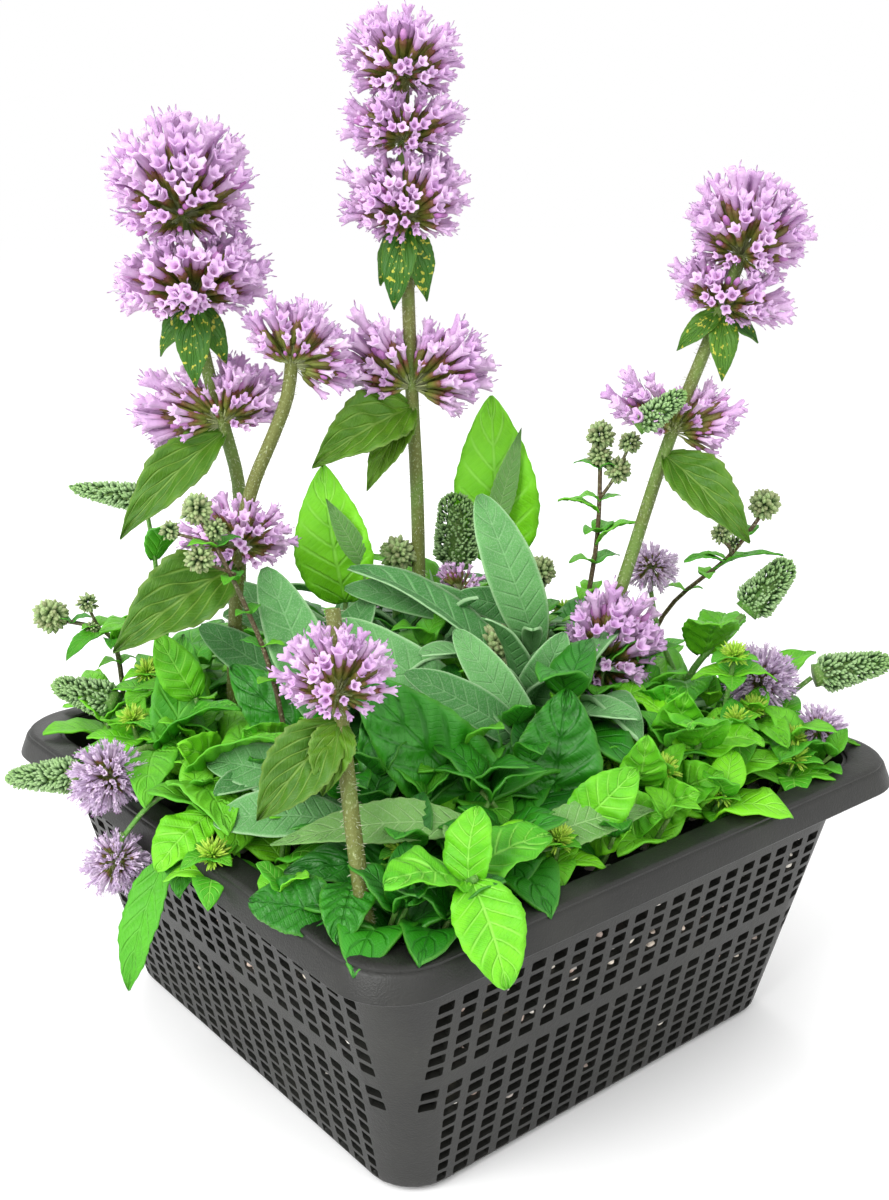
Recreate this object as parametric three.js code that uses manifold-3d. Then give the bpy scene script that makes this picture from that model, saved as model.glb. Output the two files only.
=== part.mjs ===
// Water mint growing in a square perforated planting basket.
// Millimetres, +Z up, origin at the middle of the basket's underside.
import * as THREE from "three";
import { mergeVertices } from "three/addons/utils/BufferGeometryUtils.js";
import Module from "manifold-3d";

const wasm = await Module();
wasm.setup();

// ---- Basket sizes ----
const rimSide = 190; // outer side of the square rim
const basketHeight = 82.5; // underside to the top of the rim
const rimWidth = 7.7; // flat top of the rim
const rimThick = 2;
const rimDrop = 7.5; // height of the skirt around the rim
const skirtThick = 2;
const skirtFlare = 1.8; // how far the skirt's lower edge stands out
const rimRadius = 16.6; // outer corner of the rim, seen from above
const openRadius = rimRadius - 1; // inner corner of the rim, over the wall's corner
const floorSide = 142; // outer side at the floor
const wallThick = 1.8;
const bodyStep = 6.7; // how far the wall stands in from the rim's edge
const slotWide = 4.6;
const slotPost = 2.55; // solid post between two openings
const cornerPost = 16.5; // plain wall beside each corner, under the rim
const upperBandDrop = 19.8; // rim top to the top of the upper openings
const upperBandTall = 22.6;
const bandStrip = 4.6; // plain strip between the two bands
const floorStrip = 5; // plain strip under the lower openings

// ---- Filling ----
const soilBelowRim = 16.5;
const gravelThick = 6.5;
const gravelRough = 1.6; // height of the bumps in the gravel
const rootBallRadius = 54;
const rootBallDeep = 38;

// ---- Plant sizes ----
const plantHeight = 205; // rim top to the tip of the tallest flower
const stemRadius = 1.9;
const shootRadius = 1.2;
const twigRadius = 0.8;
const leafThick = 1;
const stalkHold = 1.5; // how far a shoot's end reaches into its flower
const smallGlobe = 7; // globes under this radius get fewer faces
const gap = 0.3; // clearance wherever two pieces meet

const half = rimSide / 2;
const bodyHalf = half - bodyStep;
const openHalf = half - rimWidth;
const soilTop = basketHeight - soilBelowRim;
const gravelTop = soilTop + gap + gravelThick;

const colours = {
  basket: 0x3a3b37,
  soil: 0x3b2a1d,
  gravel: 0xcfc6b4,
  pebble: 0xd8cfc0,
  stem: 0x6f7a35,
  olive: 0x6a7c1c,
  bright: 0x57c417,
  mint: 0x3fae1f,
  dark: 0x1d7a24,
  sage: 0x6fa477,
  lilac: 0xc9a6d8,
  mauve: 0xa98bbf,
  cone: 0x6f9a5a,
  bud: 0x5f7a4a,
};

// ---- Solids ----
// A three.js geometry as a manifold-3d solid.
function toSolid(geometry) {
  const bare = geometry.index ? geometry.toNonIndexed() : geometry.clone();
  bare.deleteAttribute("normal");
  bare.deleteAttribute("uv");
  const merged = mergeVertices(bare, 1e-3);
  return new wasm.Manifold(
    new wasm.Mesh({
      numProp: 3,
      vertProperties: merged.attributes.position.array,
      triVerts: new Uint32Array(merged.index.array),
    }),
  );
}

// A manifold-3d solid back as a three.js geometry.
function toGeometry(solid) {
  const mesh = solid.getMesh();
  const xyz = new Float32Array(mesh.numVert * 3);
  for (let i = 0; i < mesh.numVert; i++) {
    const start = i * mesh.numProp;
    xyz.set(mesh.vertProperties.subarray(start, start + 3), i * 3);
  }
  const made = new THREE.BufferGeometry();
  made.setAttribute("position", new THREE.BufferAttribute(xyz, 3));
  made.setIndex(new THREE.BufferAttribute(mesh.triVerts, 1));
  const flat = made.toNonIndexed();
  flat.computeVertexNormals();
  return flat;
}

// Several solids joined into one.
function join(solids) {
  return solids.reduce((sum, solid) => sum.add(solid));
}

// A repeatable random number from 0 to 1.
function random(seed) {
  const wave = Math.sin(seed * 127.1 + 311.7) * 43758.5453;
  return wave - Math.floor(wave);
}

// ---- Basket ----
function roundedSquare(side, radius) {
  const shape = new THREE.Shape();
  const inner = side - radius;
  shape.moveTo(-inner, -side);
  shape.lineTo(inner, -side);
  shape.absarc(inner, -inner, radius, -Math.PI / 2, 0);
  shape.lineTo(side, inner);
  shape.absarc(inner, inner, radius, 0, Math.PI / 2);
  shape.lineTo(-inner, side);
  shape.absarc(-inner, inner, radius, Math.PI / 2, Math.PI);
  shape.lineTo(-side, -inner);
  shape.absarc(-inner, -inner, radius, Math.PI, Math.PI * 1.5);
  return shape;
}

// A square prism with rounded corners between two heights. Its lower end is scaled.
function squarePrism(side, radius, low, high, lowScale = 1) {
  const geometry = new THREE.ExtrudeGeometry(roundedSquare(side, radius), {
    depth: high - low,
    bevelEnabled: false,
    curveSegments: 4,
  });
  const position = geometry.attributes.position;
  for (let i = 0; i < position.count; i++) {
    const share = position.getZ(i) / (high - low);
    const scale = lowScale + (1 - lowScale) * share;
    position.setX(i, position.getX(i) * scale);
    position.setY(i, position.getY(i) * scale);
  }
  geometry.translate(0, 0, low);
  return toSolid(geometry);
}

// Outer half side of the wall at a height.
function wallHalf(z) {
  return floorSide / 2 + ((bodyHalf - floorSide / 2) * z) / basketHeight;
}

// The tapered space inside the walls, shrunk by a clearance, between two heights.
function hollow(low, high, shrink) {
  const top = wallHalf(high) - wallThick - shrink;
  const bottom = wallHalf(low) - wallThick - shrink;
  const radius = rimRadius - wallThick - shrink;
  return squarePrism(top, radius, low, high, bottom / top);
}

// How low the openings of a column reach: the columns beside a corner stop early.
function lowestOpening(across) {
  const low = wallThick + floorStrip;
  const reach = Math.abs(across) + slotWide / 2 + cornerPost * 0.5;
  const steep = (bodyHalf - floorSide / 2) / basketHeight;
  return Math.max(low, (reach - floorSide / 2) / steep);
}

function slotsThroughWalls() {
  const pitch = slotWide + slotPost;
  const columns = 2 * Math.floor((bodyHalf - cornerPost) / pitch);
  const upperTop = basketHeight - upperBandDrop;
  const upperLow = upperTop - upperBandTall;
  const lowerTop = upperLow - bandStrip;
  const cutters = [];
  for (let column = 0; column < columns; column++) {
    const across = (column - (columns - 1) / 2) * pitch;
    const lowerLow = Math.min(lowestOpening(across), lowerTop - slotWide);
    for (const [low, high] of [[upperLow, upperTop], [lowerLow, lowerTop]]) {
      const slot = new THREE.BoxGeometry(slotWide, 20, high - low);
      const outside = wallHalf((low + high) / 2);
      slot.translate(across, -outside, (low + high) / 2);
      for (let side = 0; side < 4; side++) {
        cutters.push(toSolid(slot.clone().rotateZ((side * Math.PI) / 2)));
      }
    }
  }
  return join(cutters);
}

function basketSolid() {
  const skirtLow = basketHeight - rimDrop;
  const outerScale = (half + skirtFlare) / half;
  const taper = floorSide / 2 / bodyHalf;
  const outer = squarePrism(bodyHalf, rimRadius, 0, basketHeight, taper);
  const skirt = squarePrism(half, rimRadius, skirtLow, basketHeight, outerScale);
  const under = squarePrism(
    half - skirtThick,
    rimRadius - skirtThick,
    skirtLow - 1,
    basketHeight - rimThick,
    outerScale,
  );
  const body = outer.subtract(hollow(wallThick, basketHeight + 1, 0));
  const opening = squarePrism(openHalf, openRadius, skirtLow - 2, basketHeight + 1);
  const lip = skirt.subtract(under).subtract(opening);
  return body.subtract(slotsThroughWalls()).add(lip);
}

// ---- Filling ----
function rootBallSolid(grow) {
  const radius = rootBallRadius + grow;
  const deep = rootBallDeep + grow;
  const profile = [new THREE.Vector2(0, -deep)];
  for (let i = 1; i <= 6; i++) {
    const turn = (i / 6) * (Math.PI / 2);
    profile.push(new THREE.Vector2(radius * Math.sin(turn), -deep * Math.cos(turn)));
  }
  profile.push(new THREE.Vector2(radius, grow));
  profile.push(new THREE.Vector2(0, grow));
  const geometry = new THREE.LatheGeometry(profile, 20).rotateX(Math.PI / 2);
  return toSolid(geometry.translate(0, 0, soilTop));
}

function soilSolid() {
  return hollow(wallThick + gap, soilTop, gap).subtract(rootBallSolid(gap));
}

function gravelSolid() {
  const steps = 6;
  const side = openHalf * 2.2;
  const low = soilTop + gap;
  const geometry = new THREE.BoxGeometry(side, side, gravelThick, steps, steps, 1);
  geometry.translate(0, 0, low + gravelThick / 2);
  const position = geometry.attributes.position;
  for (let i = 0; i < position.count; i++) {
    if (position.getZ(i) < low + 1) continue;
    const seed = Math.round(position.getX(i)) * 3 + Math.round(position.getY(i)) * 7;
    position.setZ(i, position.getZ(i) - random(seed) * gravelRough);
  }
  return toSolid(geometry).intersect(hollow(low - 1, gravelTop + 1, gap));
}

// ---- Plant helpers ----
// A point by its shares of the half side and of the plant's height above the rim.
function at(x, y, z) {
  return new THREE.Vector3(x * half, y * half, basketHeight + z * plantHeight);
}

// A point on the ground inside the basket, where a shoot or stem stands.
function foot(x, y) {
  return new THREE.Vector3(x * half, y * half, soilTop + gap);
}

function curveOf(points) {
  return new THREE.CatmullRomCurve3(points);
}

// A stalk of even thickness along a curve.
function stalk(curve, radius, steps, grow = 0) {
  const reach = radius + grow;
  const shape = new THREE.Shape();
  for (let i = 0; i < 6; i++) {
    const turn = (i / 6) * Math.PI * 2;
    const x = reach * Math.cos(turn);
    const y = reach * Math.sin(turn);
    if (i === 0) shape.moveTo(x, y);
    else shape.lineTo(x, y);
  }
  const geometry = new THREE.ExtrudeGeometry(shape, { steps, extrudePath: curve });
  return toSolid(geometry);
}

// How wide a leaf is along its length, as a share of its full width.
const outlines = {
  ovate: (v) => Math.pow(Math.sin(Math.PI * Math.pow(v, 0.72)), 0.85),
  narrow: (v) => Math.pow(Math.sin(Math.PI * Math.pow(v, 0.95)), 0.7),
  round: (v) => Math.pow(Math.sin(Math.PI * Math.pow(v, 0.8)), 0.6),
};

// A leaf blade from its base to its tip. It bows towards face, and folds along its rib.
function blade(base, tip, wide, face, options = {}) {
  const { outline = "ovate", bow = 0.15, fold = 0.25, grow = 0 } = options;
  const rows = options.rows || 5;
  const length = base.distanceTo(tip);
  const up = face.clone().normalize();
  const middle = base.clone().lerp(tip, 0.5).addScaledVector(up, bow * length);
  const rib = new THREE.QuadraticBezierCurve3(base, middle, tip);
  const geometry = new THREE.BoxGeometry(1, 1, 1, 2, rows, 1);
  const position = geometry.attributes.position;
  for (let i = 0; i < position.count; i++) {
    const v = position.getY(i) + 0.5;
    const across = position.getX(i) * 2;
    const spread = (wide / 2) * outlines[outline](0.02 + v * 0.94) + 0.5 + grow;
    const along = rib.getTangent(v);
    const side = along.clone().cross(up).normalize();
    const normal = side.clone().cross(along).normalize();
    const point = rib.getPoint(v);
    if (v < 0.01) point.addScaledVector(along, -grow);
    if (v > 0.99) point.addScaledVector(along, grow);
    point.addScaledVector(side, across * spread * Math.cos(fold));
    const lift = Math.abs(across) * spread * Math.sin(fold);
    const skin = position.getZ(i) * (leafThick + 2 * grow);
    point.addScaledVector(normal, lift + skin);
    position.setXYZ(i, point.x, point.y, point.z);
  }
  const solid = toSolid(geometry);
  if (solid.volume() > 0) return solid;
  return toSolid(flipped(geometry));
}

// The same closed surface with its faces turned round.
function flipped(geometry) {
  const turned = geometry.clone();
  const index = turned.index.array;
  for (let i = 0; i < index.length; i += 3) {
    [index[i + 1], index[i + 2]] = [index[i + 2], index[i + 1]];
  }
  return turned;
}

// A rounded body of revolution: a flower globe, a spike or a bud, pointing along an axis.
function globe(centre, axis, radius, tall, grow = 0, taper = 0) {
  const rows = radius < smallGlobe ? 4 : 6;
  const profile = [];
  for (let i = 0; i <= rows; i++) {
    const turn = (i / rows) * Math.PI;
    const share = -Math.cos(turn);
    const thin = 1 - taper * (0.5 + share / 2);
    const reach = i === 0 || i === rows ? 0 : (radius * thin + grow) * Math.sin(turn);
    profile.push(new THREE.Vector2(reach, share * (tall / 2 + grow)));
  }
  const geometry = new THREE.LatheGeometry(profile, radius < smallGlobe ? 6 : 9);
  const turn = new THREE.Quaternion().setFromUnitVectors(
    new THREE.Vector3(0, 1, 0),
    axis.clone().normalize(),
  );
  geometry.applyQuaternion(turn);
  return toSolid(geometry.translate(centre.x, centre.y, centre.z));
}

// ---- The pieces of the plant ----
// Each entry makes its own solid, and makes it again a little larger to cut a neighbour.
const pieces = [];
function piece(name, colour, make) {
  pieces.push({ name, colour, make });
}

const stems = {
  left: [foot(-0.42, 0.5), at(-0.42, 0.5, 0.19), at(-0.43, 0.46, 0.37),
    at(-0.47, 0.46, 0.45), at(-0.53, 0.46, 0.56), at(-0.57, 0.47, 0.74)],
  centre: [foot(0.07, 0.21), at(0.07, 0.22, 0.33), at(0.06, 0.23, 0.48),
    at(0.05, 0.24, 0.7), at(0.04, 0.24, 0.92)],
  right: [foot(0.34, -0.28), at(0.41, -0.28, 0.13), at(0.51, -0.28, 0.25),
    at(0.59, -0.35, 0.43), at(0.64, -0.45, 0.58), at(0.69, -0.5, 0.68)],
  inner_left: [foot(-0.54, 0.36), at(-0.56, 0.32, 0.09), at(-0.55, 0.26, 0.31),
    at(-0.52, 0.24, 0.38), at(-0.4, 0.22, 0.5), at(-0.37, 0.23, 0.56)],
  front: [foot(-0.86, -0.8), at(-0.83, -0.68, 0.07), at(-0.78, -0.56, 0.2),
    at(-0.77, -0.52, 0.27), at(-0.74, -0.48, 0.33)],
};
const stemCurves = {};
for (const [name, points] of Object.entries(stems)) {
  stemCurves[name] = curveOf(points);
  piece("stem_" + name, colours.stem, (grow) =>
    stalk(stemCurves[name], stemRadius, 11, grow));
}

// A flower whorl around a stem at a share of its length, as one or two lobes.
function whorl(name, stem, share, lobes) {
  piece(name, colours.lilac, (grow) => {
    const centre = stemCurves[stem].getPoint(share);
    const axis = stemCurves[stem].getTangent(share);
    const core = globe(centre, axis, stemRadius * 2.5, stemRadius * 6, grow);
    return core.add(join(lobes.map(([x, y, z, radius, tall]) => {
      const place = centre.clone().add(new THREE.Vector3(x, y, z));
      return globe(place, axis, radius, tall, grow);
    })));
  });
}
whorl("whorl_left_top", "left", 1, [[0, 0, 6, 20.5, 35]]);
whorl("whorl_left_middle", "left", 0.9, [[0, 0, 2, 22, 25]]);
whorl("whorl_left_second", "left", 0.62, [[-11, 9, 3, 11, 22], [5, -4, 7, 12.5, 21]]);
whorl("whorl_centre_top", "centre", 1, [[0, 0, 3, 17.5, 25]]);
whorl("whorl_centre_middle", "centre", 0.92, [[0, 0, 0, 18, 19]]);
whorl("whorl_centre_low", "centre", 0.8, [[0, 0, 3, 19, 27]]);
whorl("whorl_centre_second", "centre", 0.54, [[-12, 5, 6, 10, 25], [9, -6, 2, 13, 28]]);
whorl("whorl_right_top", "right", 1, [[1, -1, 7, 18, 30]]);
whorl("whorl_right_middle", "right", 0.92, [[0, 0, -1, 18.5, 17]]);
whorl("whorl_right_second", "right", 0.625, [[-9, 4, 7, 12, 13], [8, -6, 2, 10.5, 20]]);
whorl("whorl_right_low", "right", 0.21, [[-1, -4, 2, 14.5, 36]]);
whorl("whorl_inner_left_top", "inner_left", 1, [[0, 0, 5, 13, 20], [11, -6, -4, 7, 14]]);
whorl("whorl_inner_left_low", "inner_left", 0.43, [[-1, 1, 1, 17, 19]]);
whorl("whorl_front", "front", 0.66, [[0, 0, 1, 14.5, 22]]);

// Leaves that hang from the tall stems.
function stemLeaf(name, stem, share, tip, wide, face) {
  piece(name, colours.olive, (grow) => {
    const base = stemCurves[stem].getPoint(share);
    return blade(base, tip, wide, face, { grow, bow: 0.12, fold: 0.45, rows: 6 });
  });
}
const outward = new THREE.Vector3(-0.6, -0.7, 0.5);
stemLeaf("leaf_left", "left", 0.56, at(-0.8, 0.52, 0.31), 19, outward);
stemLeaf("leaf_centre", "centre", 0.49, at(-0.3, 0.25, 0.4), 19, outward);
stemLeaf("leaf_right", "right", 0.575, at(0.66, -0.62, 0.3), 16, outward);
stemLeaf("leaf_inner_left", "inner_left", 0.36, at(-0.95, 0.3, 0.19), 21, outward);
stemLeaf("leaf_front", "front", 0.6, at(-1.0, -0.52, 0.1), 16, outward);

// A shoot: a stalk with leaves in chosen directions, and small branches.
// Each leaf is [share of the stalk, tip, width]. Each branch is a list of points.
function shoot(name, colour, options) {
  piece(name, colour, (grow) => {
    const curve = curveOf(options.path);
    const radius = options.radius || shootRadius;
    const solids = [stalk(curve, radius, options.steps || 6, grow)];
    for (const [share, tip, wide, face = [0, 0, 1]] of options.leaves || []) {
      const base = curve.getPoint(share);
      const shape = { outline: options.outline, grow, bow: 0.14, rows: 4 };
      solids.push(blade(base, tip, wide, new THREE.Vector3(...face), shape));
    }
    for (const branch of options.branches || []) {
      solids.push(stalk(curveOf(branch), radius * 0.8, 4, grow));
    }
    for (const [centre, size] of options.buds || []) {
      const up = new THREE.Vector3(0, 0, 1);
      solids.push(globe(centre, up, size, size * 1.8, grow));
    }
    return join(solids);
  });
}

// A globe or a spike that sits on the end of a shoot.
function flower(name, colour, from, towards, radius, tall, taper = 0) {
  piece(name, colour, (grow) => {
    const axis = towards.clone().sub(from).normalize();
    const centre = from.clone().addScaledVector(axis, tall / 2 - stalkHold);
    return globe(centre, axis, radius, tall, grow, taper);
  });
}

shoot("shoot_left", colours.mint, {
  path: [foot(-0.72, 0.3), at(-0.8, 0.28, 0.02), at(-0.9, 0.24, 0.06), at(-0.97, 0.22, 0.045)],
  branches: [
    [at(-0.85, 0.26, 0.045), at(-0.92, 0.36, 0.035), at(-1.0, 0.46, 0)],
    [at(-0.78, 0.29, 0.01), at(-0.76, 0.5, 0.04), at(-0.79, 0.64, 0.055)],
  ],
  leaves: [
    [0.45, at(-0.62, 0.5, 0.16), 15], [0.6, at(-0.7, 0.05, 0.12), 16],
    [0.7, at(-1.02, 0.02, 0.03), 14], [0.5, at(-1.0, 0.62, -0.03), 15],
  ],
});
flower("pompom_left", colours.mauve, at(-0.97, 0.22, 0.045), at(-1.2, 0.12, 0.045), 10, 19);
flower("spike_left", colours.cone, at(-1.0, 0.46, 0), at(-1.15, 0.7, -0.025), 5.5, 26, 0.45);
flower("spike_left_upper", colours.cone, at(-0.79, 0.64, 0.055), at(-0.95, 0.86, 0.08), 6, 21, 0.45);

shoot("shoot_left_low", colours.mint, {
  path: [foot(-0.7, -0.04), at(-0.82, 0, 0.03), at(-0.97, 0.04, 0.03), at(-1.07, 0.08, -0.02)],
  leaves: [
    [0.75, at(-1.1, -0.1, -0.19), 16, [-1, -0.2, 0]], [0.6, at(-0.95, -0.3, 0.04), 17],
    [0.55, at(-0.75, -0.3, 0.13), 16], [0.3, at(-0.55, 0.12, 0.1), 16],
  ],
});
flower("pompom_left_low", colours.mauve, at(-1.07, 0.08, -0.02), at(-1.16, 0.1, -0.2), 9, 16);

shoot("shoot_left_back", colours.mint, {
  path: [foot(-0.55, 0.72), at(-0.58, 0.72, 0.12), at(-0.6, 0.7, 0.25), at(-0.62, 0.7, 0.33)],
  radius: twigRadius,
  leaves: [
    [0.5, at(-0.85, 0.6, 0.17), 12], [0.55, at(-0.36, 0.78, 0.2), 12],
    [0.8, at(-0.62, 0.5, 0.32), 9], [0.3, at(-0.25, 0.9, 0.1), 14],
  ],
});
flower("spike_left_back", colours.cone, at(-0.62, 0.7, 0.34), at(-0.78, 0.92, 0.35), 4.5, 24, 0.5);

shoot("shoot_centre", colours.mint, {
  path: [foot(0.27, 0.34), at(0.28, 0.32, 0.1), at(0.29, 0.29, 0.2)],
  leaves: [
    [0.8, at(0.08, 0.5, 0.22), 15], [0.75, at(0.52, 0.1, 0.18), 15],
    [0.5, at(0.05, 0.06, 0.14), 17], [0.45, at(0.5, 0.55, 0.12), 17],
  ],
});
flower("spike_centre", colours.cone, at(0.29, 0.29, 0.205), at(0.29, 0.3, 0.4), 7.5, 24, 0.25);

shoot("shoot_right_back", colours.mint, {
  path: [foot(0.68, -0.3), at(0.72, -0.36, 0.06), at(0.78, -0.44, 0.13), at(0.83, -0.48, 0.165)],
  branches: [[at(0.71, -0.34, 0.05), at(0.69, -0.26, 0.12), at(0.68, -0.22, 0.19)]],
  leaves: [
    [0.7, at(0.55, -0.62, 0.19), 16], [0.8, at(0.98, -0.3, 0.13), 14],
    [0.5, at(0.62, 0.0, 0.09), 17], [0.45, at(0.45, -0.6, 0.08), 17],
  ],
});
flower("spike_right_back", colours.cone, at(0.835, -0.485, 0.17), at(0.97, -0.56, 0.25), 6.5, 20, 0.35);
flower("pompom_right_back", colours.mauve, at(0.68, -0.22, 0.195), at(0.68, -0.22, 0.4), 8.5, 15);

shoot("shoot_right", colours.mint, {
  path: [foot(0.7, -0.56), at(0.74, -0.57, 0.02), at(0.79, -0.58, 0.04)],
  branches: [[at(0.75, -0.57, 0.022), at(0.86, -0.64, 0.055), at(0.92, -0.69, 0.085)]],
  leaves: [
    [0.6, at(0.52, -0.82, 0.09), 18], [0.8, at(1.06, -0.6, 0.1), 13],
    [0.4, at(0.95, -0.85, 0.05), 15], [0.3, at(0.42, -0.5, 0.06), 17],
  ],
});
flower("pompom_right", colours.mauve, at(0.79, -0.585, 0.045), at(0.8, -0.62, 0.3), 11, 19);
flower("spike_right", colours.cone, at(0.925, -0.695, 0.088), at(1.1, -0.84, 0.11), 6, 23, 0.4);

shoot("shoot_right_low", colours.mint, {
  path: [foot(0.78, -0.78), at(0.81, -0.78, -0.015), at(0.84, -0.78, -0.005)],
  leaves: [[0.6, at(0.5, -0.9, 0.04), 15], [0.5, at(0.92, -0.46, 0.03), 13]],
});
flower("pompom_right_low", colours.mauve, at(0.84, -0.78, 0), at(0.86, -0.79, 0.2), 8.5, 14);

// Bud sprigs on thin brown stalks.
shoot("sprig_left", colours.bud, {
  path: [foot(-0.7, 0.78), at(-0.7, 0.79, 0.08), at(-0.74, 0.8, 0.14), at(-0.87, 0.9, 0.16)],
  radius: twigRadius,
  steps: 8,
  branches: [[at(-0.74, 0.8, 0.138), at(-0.76, 0.8, 0.15), at(-0.79, 0.79, 0.18)]],
  buds: [[at(-0.87, 0.9, 0.165), 5], [at(-0.795, 0.79, 0.19), 3]],
  leaves: [[0.66, at(-0.66, 0.66, 0.18), 7], [0.75, at(-0.9, 0.74, 0.12), 6]],
});
shoot("sprig_right", colours.bud, {
  path: [foot(0.48, -0.04), at(0.5, -0.1, 0.14), at(0.52, -0.13, 0.28), at(0.52, -0.13, 0.41)],
  radius: twigRadius,
  steps: 8,
  branches: [[at(0.52, -0.13, 0.33), at(0.55, -0.16, 0.36), at(0.58, -0.19, 0.405)]],
  buds: [[at(0.52, -0.13, 0.425), 4.2], [at(0.585, -0.195, 0.415), 3.4]],
  leaves: [[0.8, at(0.42, -0.05, 0.33), 7], [0.7, at(0.6, -0.24, 0.3), 8]],
});
shoot("sprig_right_back", colours.bud, {
  path: [foot(0.84, 0.04), at(0.86, -0.12, 0.12), at(0.86, -0.38, 0.24), at(0.9, -0.47, 0.31)],
  radius: twigRadius,
  steps: 8,
  branches: [[at(0.862, -0.39, 0.245), at(0.83, -0.41, 0.26), at(0.79, -0.41, 0.275)]],
  buds: [[at(0.905, -0.475, 0.325), 4.6], [at(0.785, -0.41, 0.285), 3.2]],
  leaves: [[0.8, at(0.72, -0.32, 0.24), 6], [0.75, at(0.96, -0.52, 0.25), 6]],
});

// Shoots that carry only leaves.
shoot("shoot_sage_centre", colours.sage, {
  path: [foot(0.06, -0.3), at(0.06, -0.3, 0.05), at(0.05, -0.28, 0.12)],
  outline: "narrow",
  leaves: [
    [0.5, at(0.09, -0.06, 0.36), 15, [-0.5, -0.6, 0.4]], [0.6, at(-0.28, 0.1, 0.27), 17],
    [0.7, at(0.12, -0.4, 0.27), 13, [-0.5, -0.6, 0.4]], [0.8, at(-0.33, -0.3, 0.2), 14],
    [0.9, at(-0.12, -0.32, 0.23), 10], [0.5, at(0.1, -0.72, 0.12), 14],
  ],
});
shoot("shoot_sage_left", colours.sage, {
  path: [foot(-0.56, -0.14), at(-0.5, -0.1, 0.04), at(-0.42, -0.02, 0.1)],
  outline: "narrow",
  leaves: [
    [0.8, at(-0.56, 0.12, 0.29), 15, [-0.5, -0.6, 0.4]], [0.9, at(-0.2, 0.1, 0.22), 14],
    [0.4, at(-0.93, -0.2, 0.07), 13], [0.3, at(-0.88, -0.42, 0.1), 12],
  ],
});
shoot("shoot_broad", colours.dark, {
  path: [foot(-0.28, -0.52), at(-0.28, -0.52, 0.0), at(-0.28, -0.5, 0.03)],
  leaves: [
    [0.8, at(-0.58, -0.32, 0.22), 24, [-0.5, -0.6, 0.4]],
    [0.8, at(0.0, -0.61, 0.18), 24, [-0.5, -0.6, 0.4]],
    [0.9, at(-0.22, -0.3, 0.16), 16, [-0.5, -0.6, 0.4]],
  ],
});
shoot("shoot_front_rim", colours.bright, {
  path: [foot(-0.62, -0.74), at(-0.64, -0.8, 0.01), at(-0.67, -0.9, 0.045), at(-0.68, -0.94, 0.06)],
  leaves: [
    [0.95, at(-0.72, -1.1, -0.03), 15, [-0.3, -0.9, 0.3]], [0.8, at(-0.88, -0.86, 0.07), 16],
    [0.7, at(-0.42, -0.92, 0.07), 16], [0.5, at(-0.34, -0.8, 0.05), 13],
    [0.9, at(-0.6, -0.86, 0.12), 12],
  ],
});
shoot("shoot_right_rim", colours.bright, {
  path: [foot(0.3, -0.72), at(0.32, -0.73, 0.02), at(0.34, -0.74, 0.07)],
  leaves: [
    [0.9, at(0.12, -0.88, 0.13), 18], [0.85, at(0.58, -0.78, 0.13), 17],
    [0.5, at(0.08, -0.86, 0.02), 17], [0.5, at(0.58, -0.88, 0.03), 15],
    [0.8, at(0.3, -0.48, 0.14), 16],
  ],
});

// The two tall bright leaves, each on its own long stalk.
function standingLeaf(name, base, neck, tip, wide) {
  piece(name, colours.bright, (grow) => {
    const start = base.clone().lerp(neck, 0.5);
    const petiole = stalk(curveOf([base, start, neck]), shootRadius, 4, grow);
    const face = new THREE.Vector3(-0.55, -0.7, 0.3);
    const leaf = blade(neck, tip, wide, face, { grow, bow: 0.1, fold: 0.2, rows: 6 });
    return petiole.add(leaf);
  });
}
standingLeaf("leaf_bright_left", foot(-0.2, 0.34), at(-0.17, 0.28, 0.19), at(-0.2, 0.34, 0.39), 19);
standingLeaf("leaf_bright_right", foot(0.42, 0.4), at(0.46, 0.26, 0.2), at(0.47, 0.33, 0.46), 22);

// The loose pebbles on the gravel.
function pebble(name, x, y, size) {
  const centre = new THREE.Vector3(x * half, y * half, gravelTop - gravelRough + size * 0.15);
  const lean = new THREE.Vector3(0.1, 0.15, 1);
  piece(name, colours.pebble, (grow) => globe(centre, lean, size, size * 0.6, grow));
}
pebble("pebble_front", -0.72, -0.84, 5);
pebble("pebble_front_left", -0.84, -0.62, 4.5);
pebble("pebble_front_right", -0.5, -0.82, 4);

// ---- Cut each piece clear of those before it ----
function overlaps(one, other) {
  const a = one.boundingBox();
  const b = other.boundingBox();
  return [0, 1, 2].every((i) => a.min[i] < b.max[i] && b.min[i] < a.max[i]);
}

function largestBody(solid) {
  const bodies = solid.decompose();
  return bodies.reduce((best, body) => (body.volume() > best.volume() ? body : best));
}

const basket = basketSolid();
const done = [{ name: "basket", colour: colours.basket, solid: basket, cutter: null }];
for (const { name, colour, make } of pieces) {
  let solid = make(0);
  for (const earlier of done) {
    if (!earlier.cutter || !overlaps(solid, earlier.cutter)) continue;
    solid = solid.subtract(earlier.cutter);
  }
  if (overlaps(solid, basket)) solid = solid.subtract(basket);
  done.push({ name, colour, solid: largestBody(solid), cutter: make(gap) });
}

const fillings = [
  ["gravel", colours.gravel, gravelSolid()],
  ["soil", colours.soil, soilSolid()],
  ["root_ball", colours.soil, rootBallSolid(0)],
];
for (const [name, colour, whole] of fillings) {
  let solid = whole;
  for (const { cutter } of done) {
    if (cutter && overlaps(solid, cutter)) solid = solid.subtract(cutter);
  }
  done.push({ name, colour, solid: largestBody(solid), cutter: null });
}

const plantInBasket = new THREE.Group();
plantInBasket.name = "water_mint_in_basket";
for (const { name, colour, solid } of done) {
  const material = new THREE.MeshStandardMaterial({
    color: colour,
    roughness: name === "basket" ? 0.45 : 0.75,
    metalness: 0,
  });
  const mesh = new THREE.Mesh(toGeometry(solid), material);
  mesh.name = name;
  plantInBasket.add(mesh);
}

export default plantInBasket;
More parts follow.
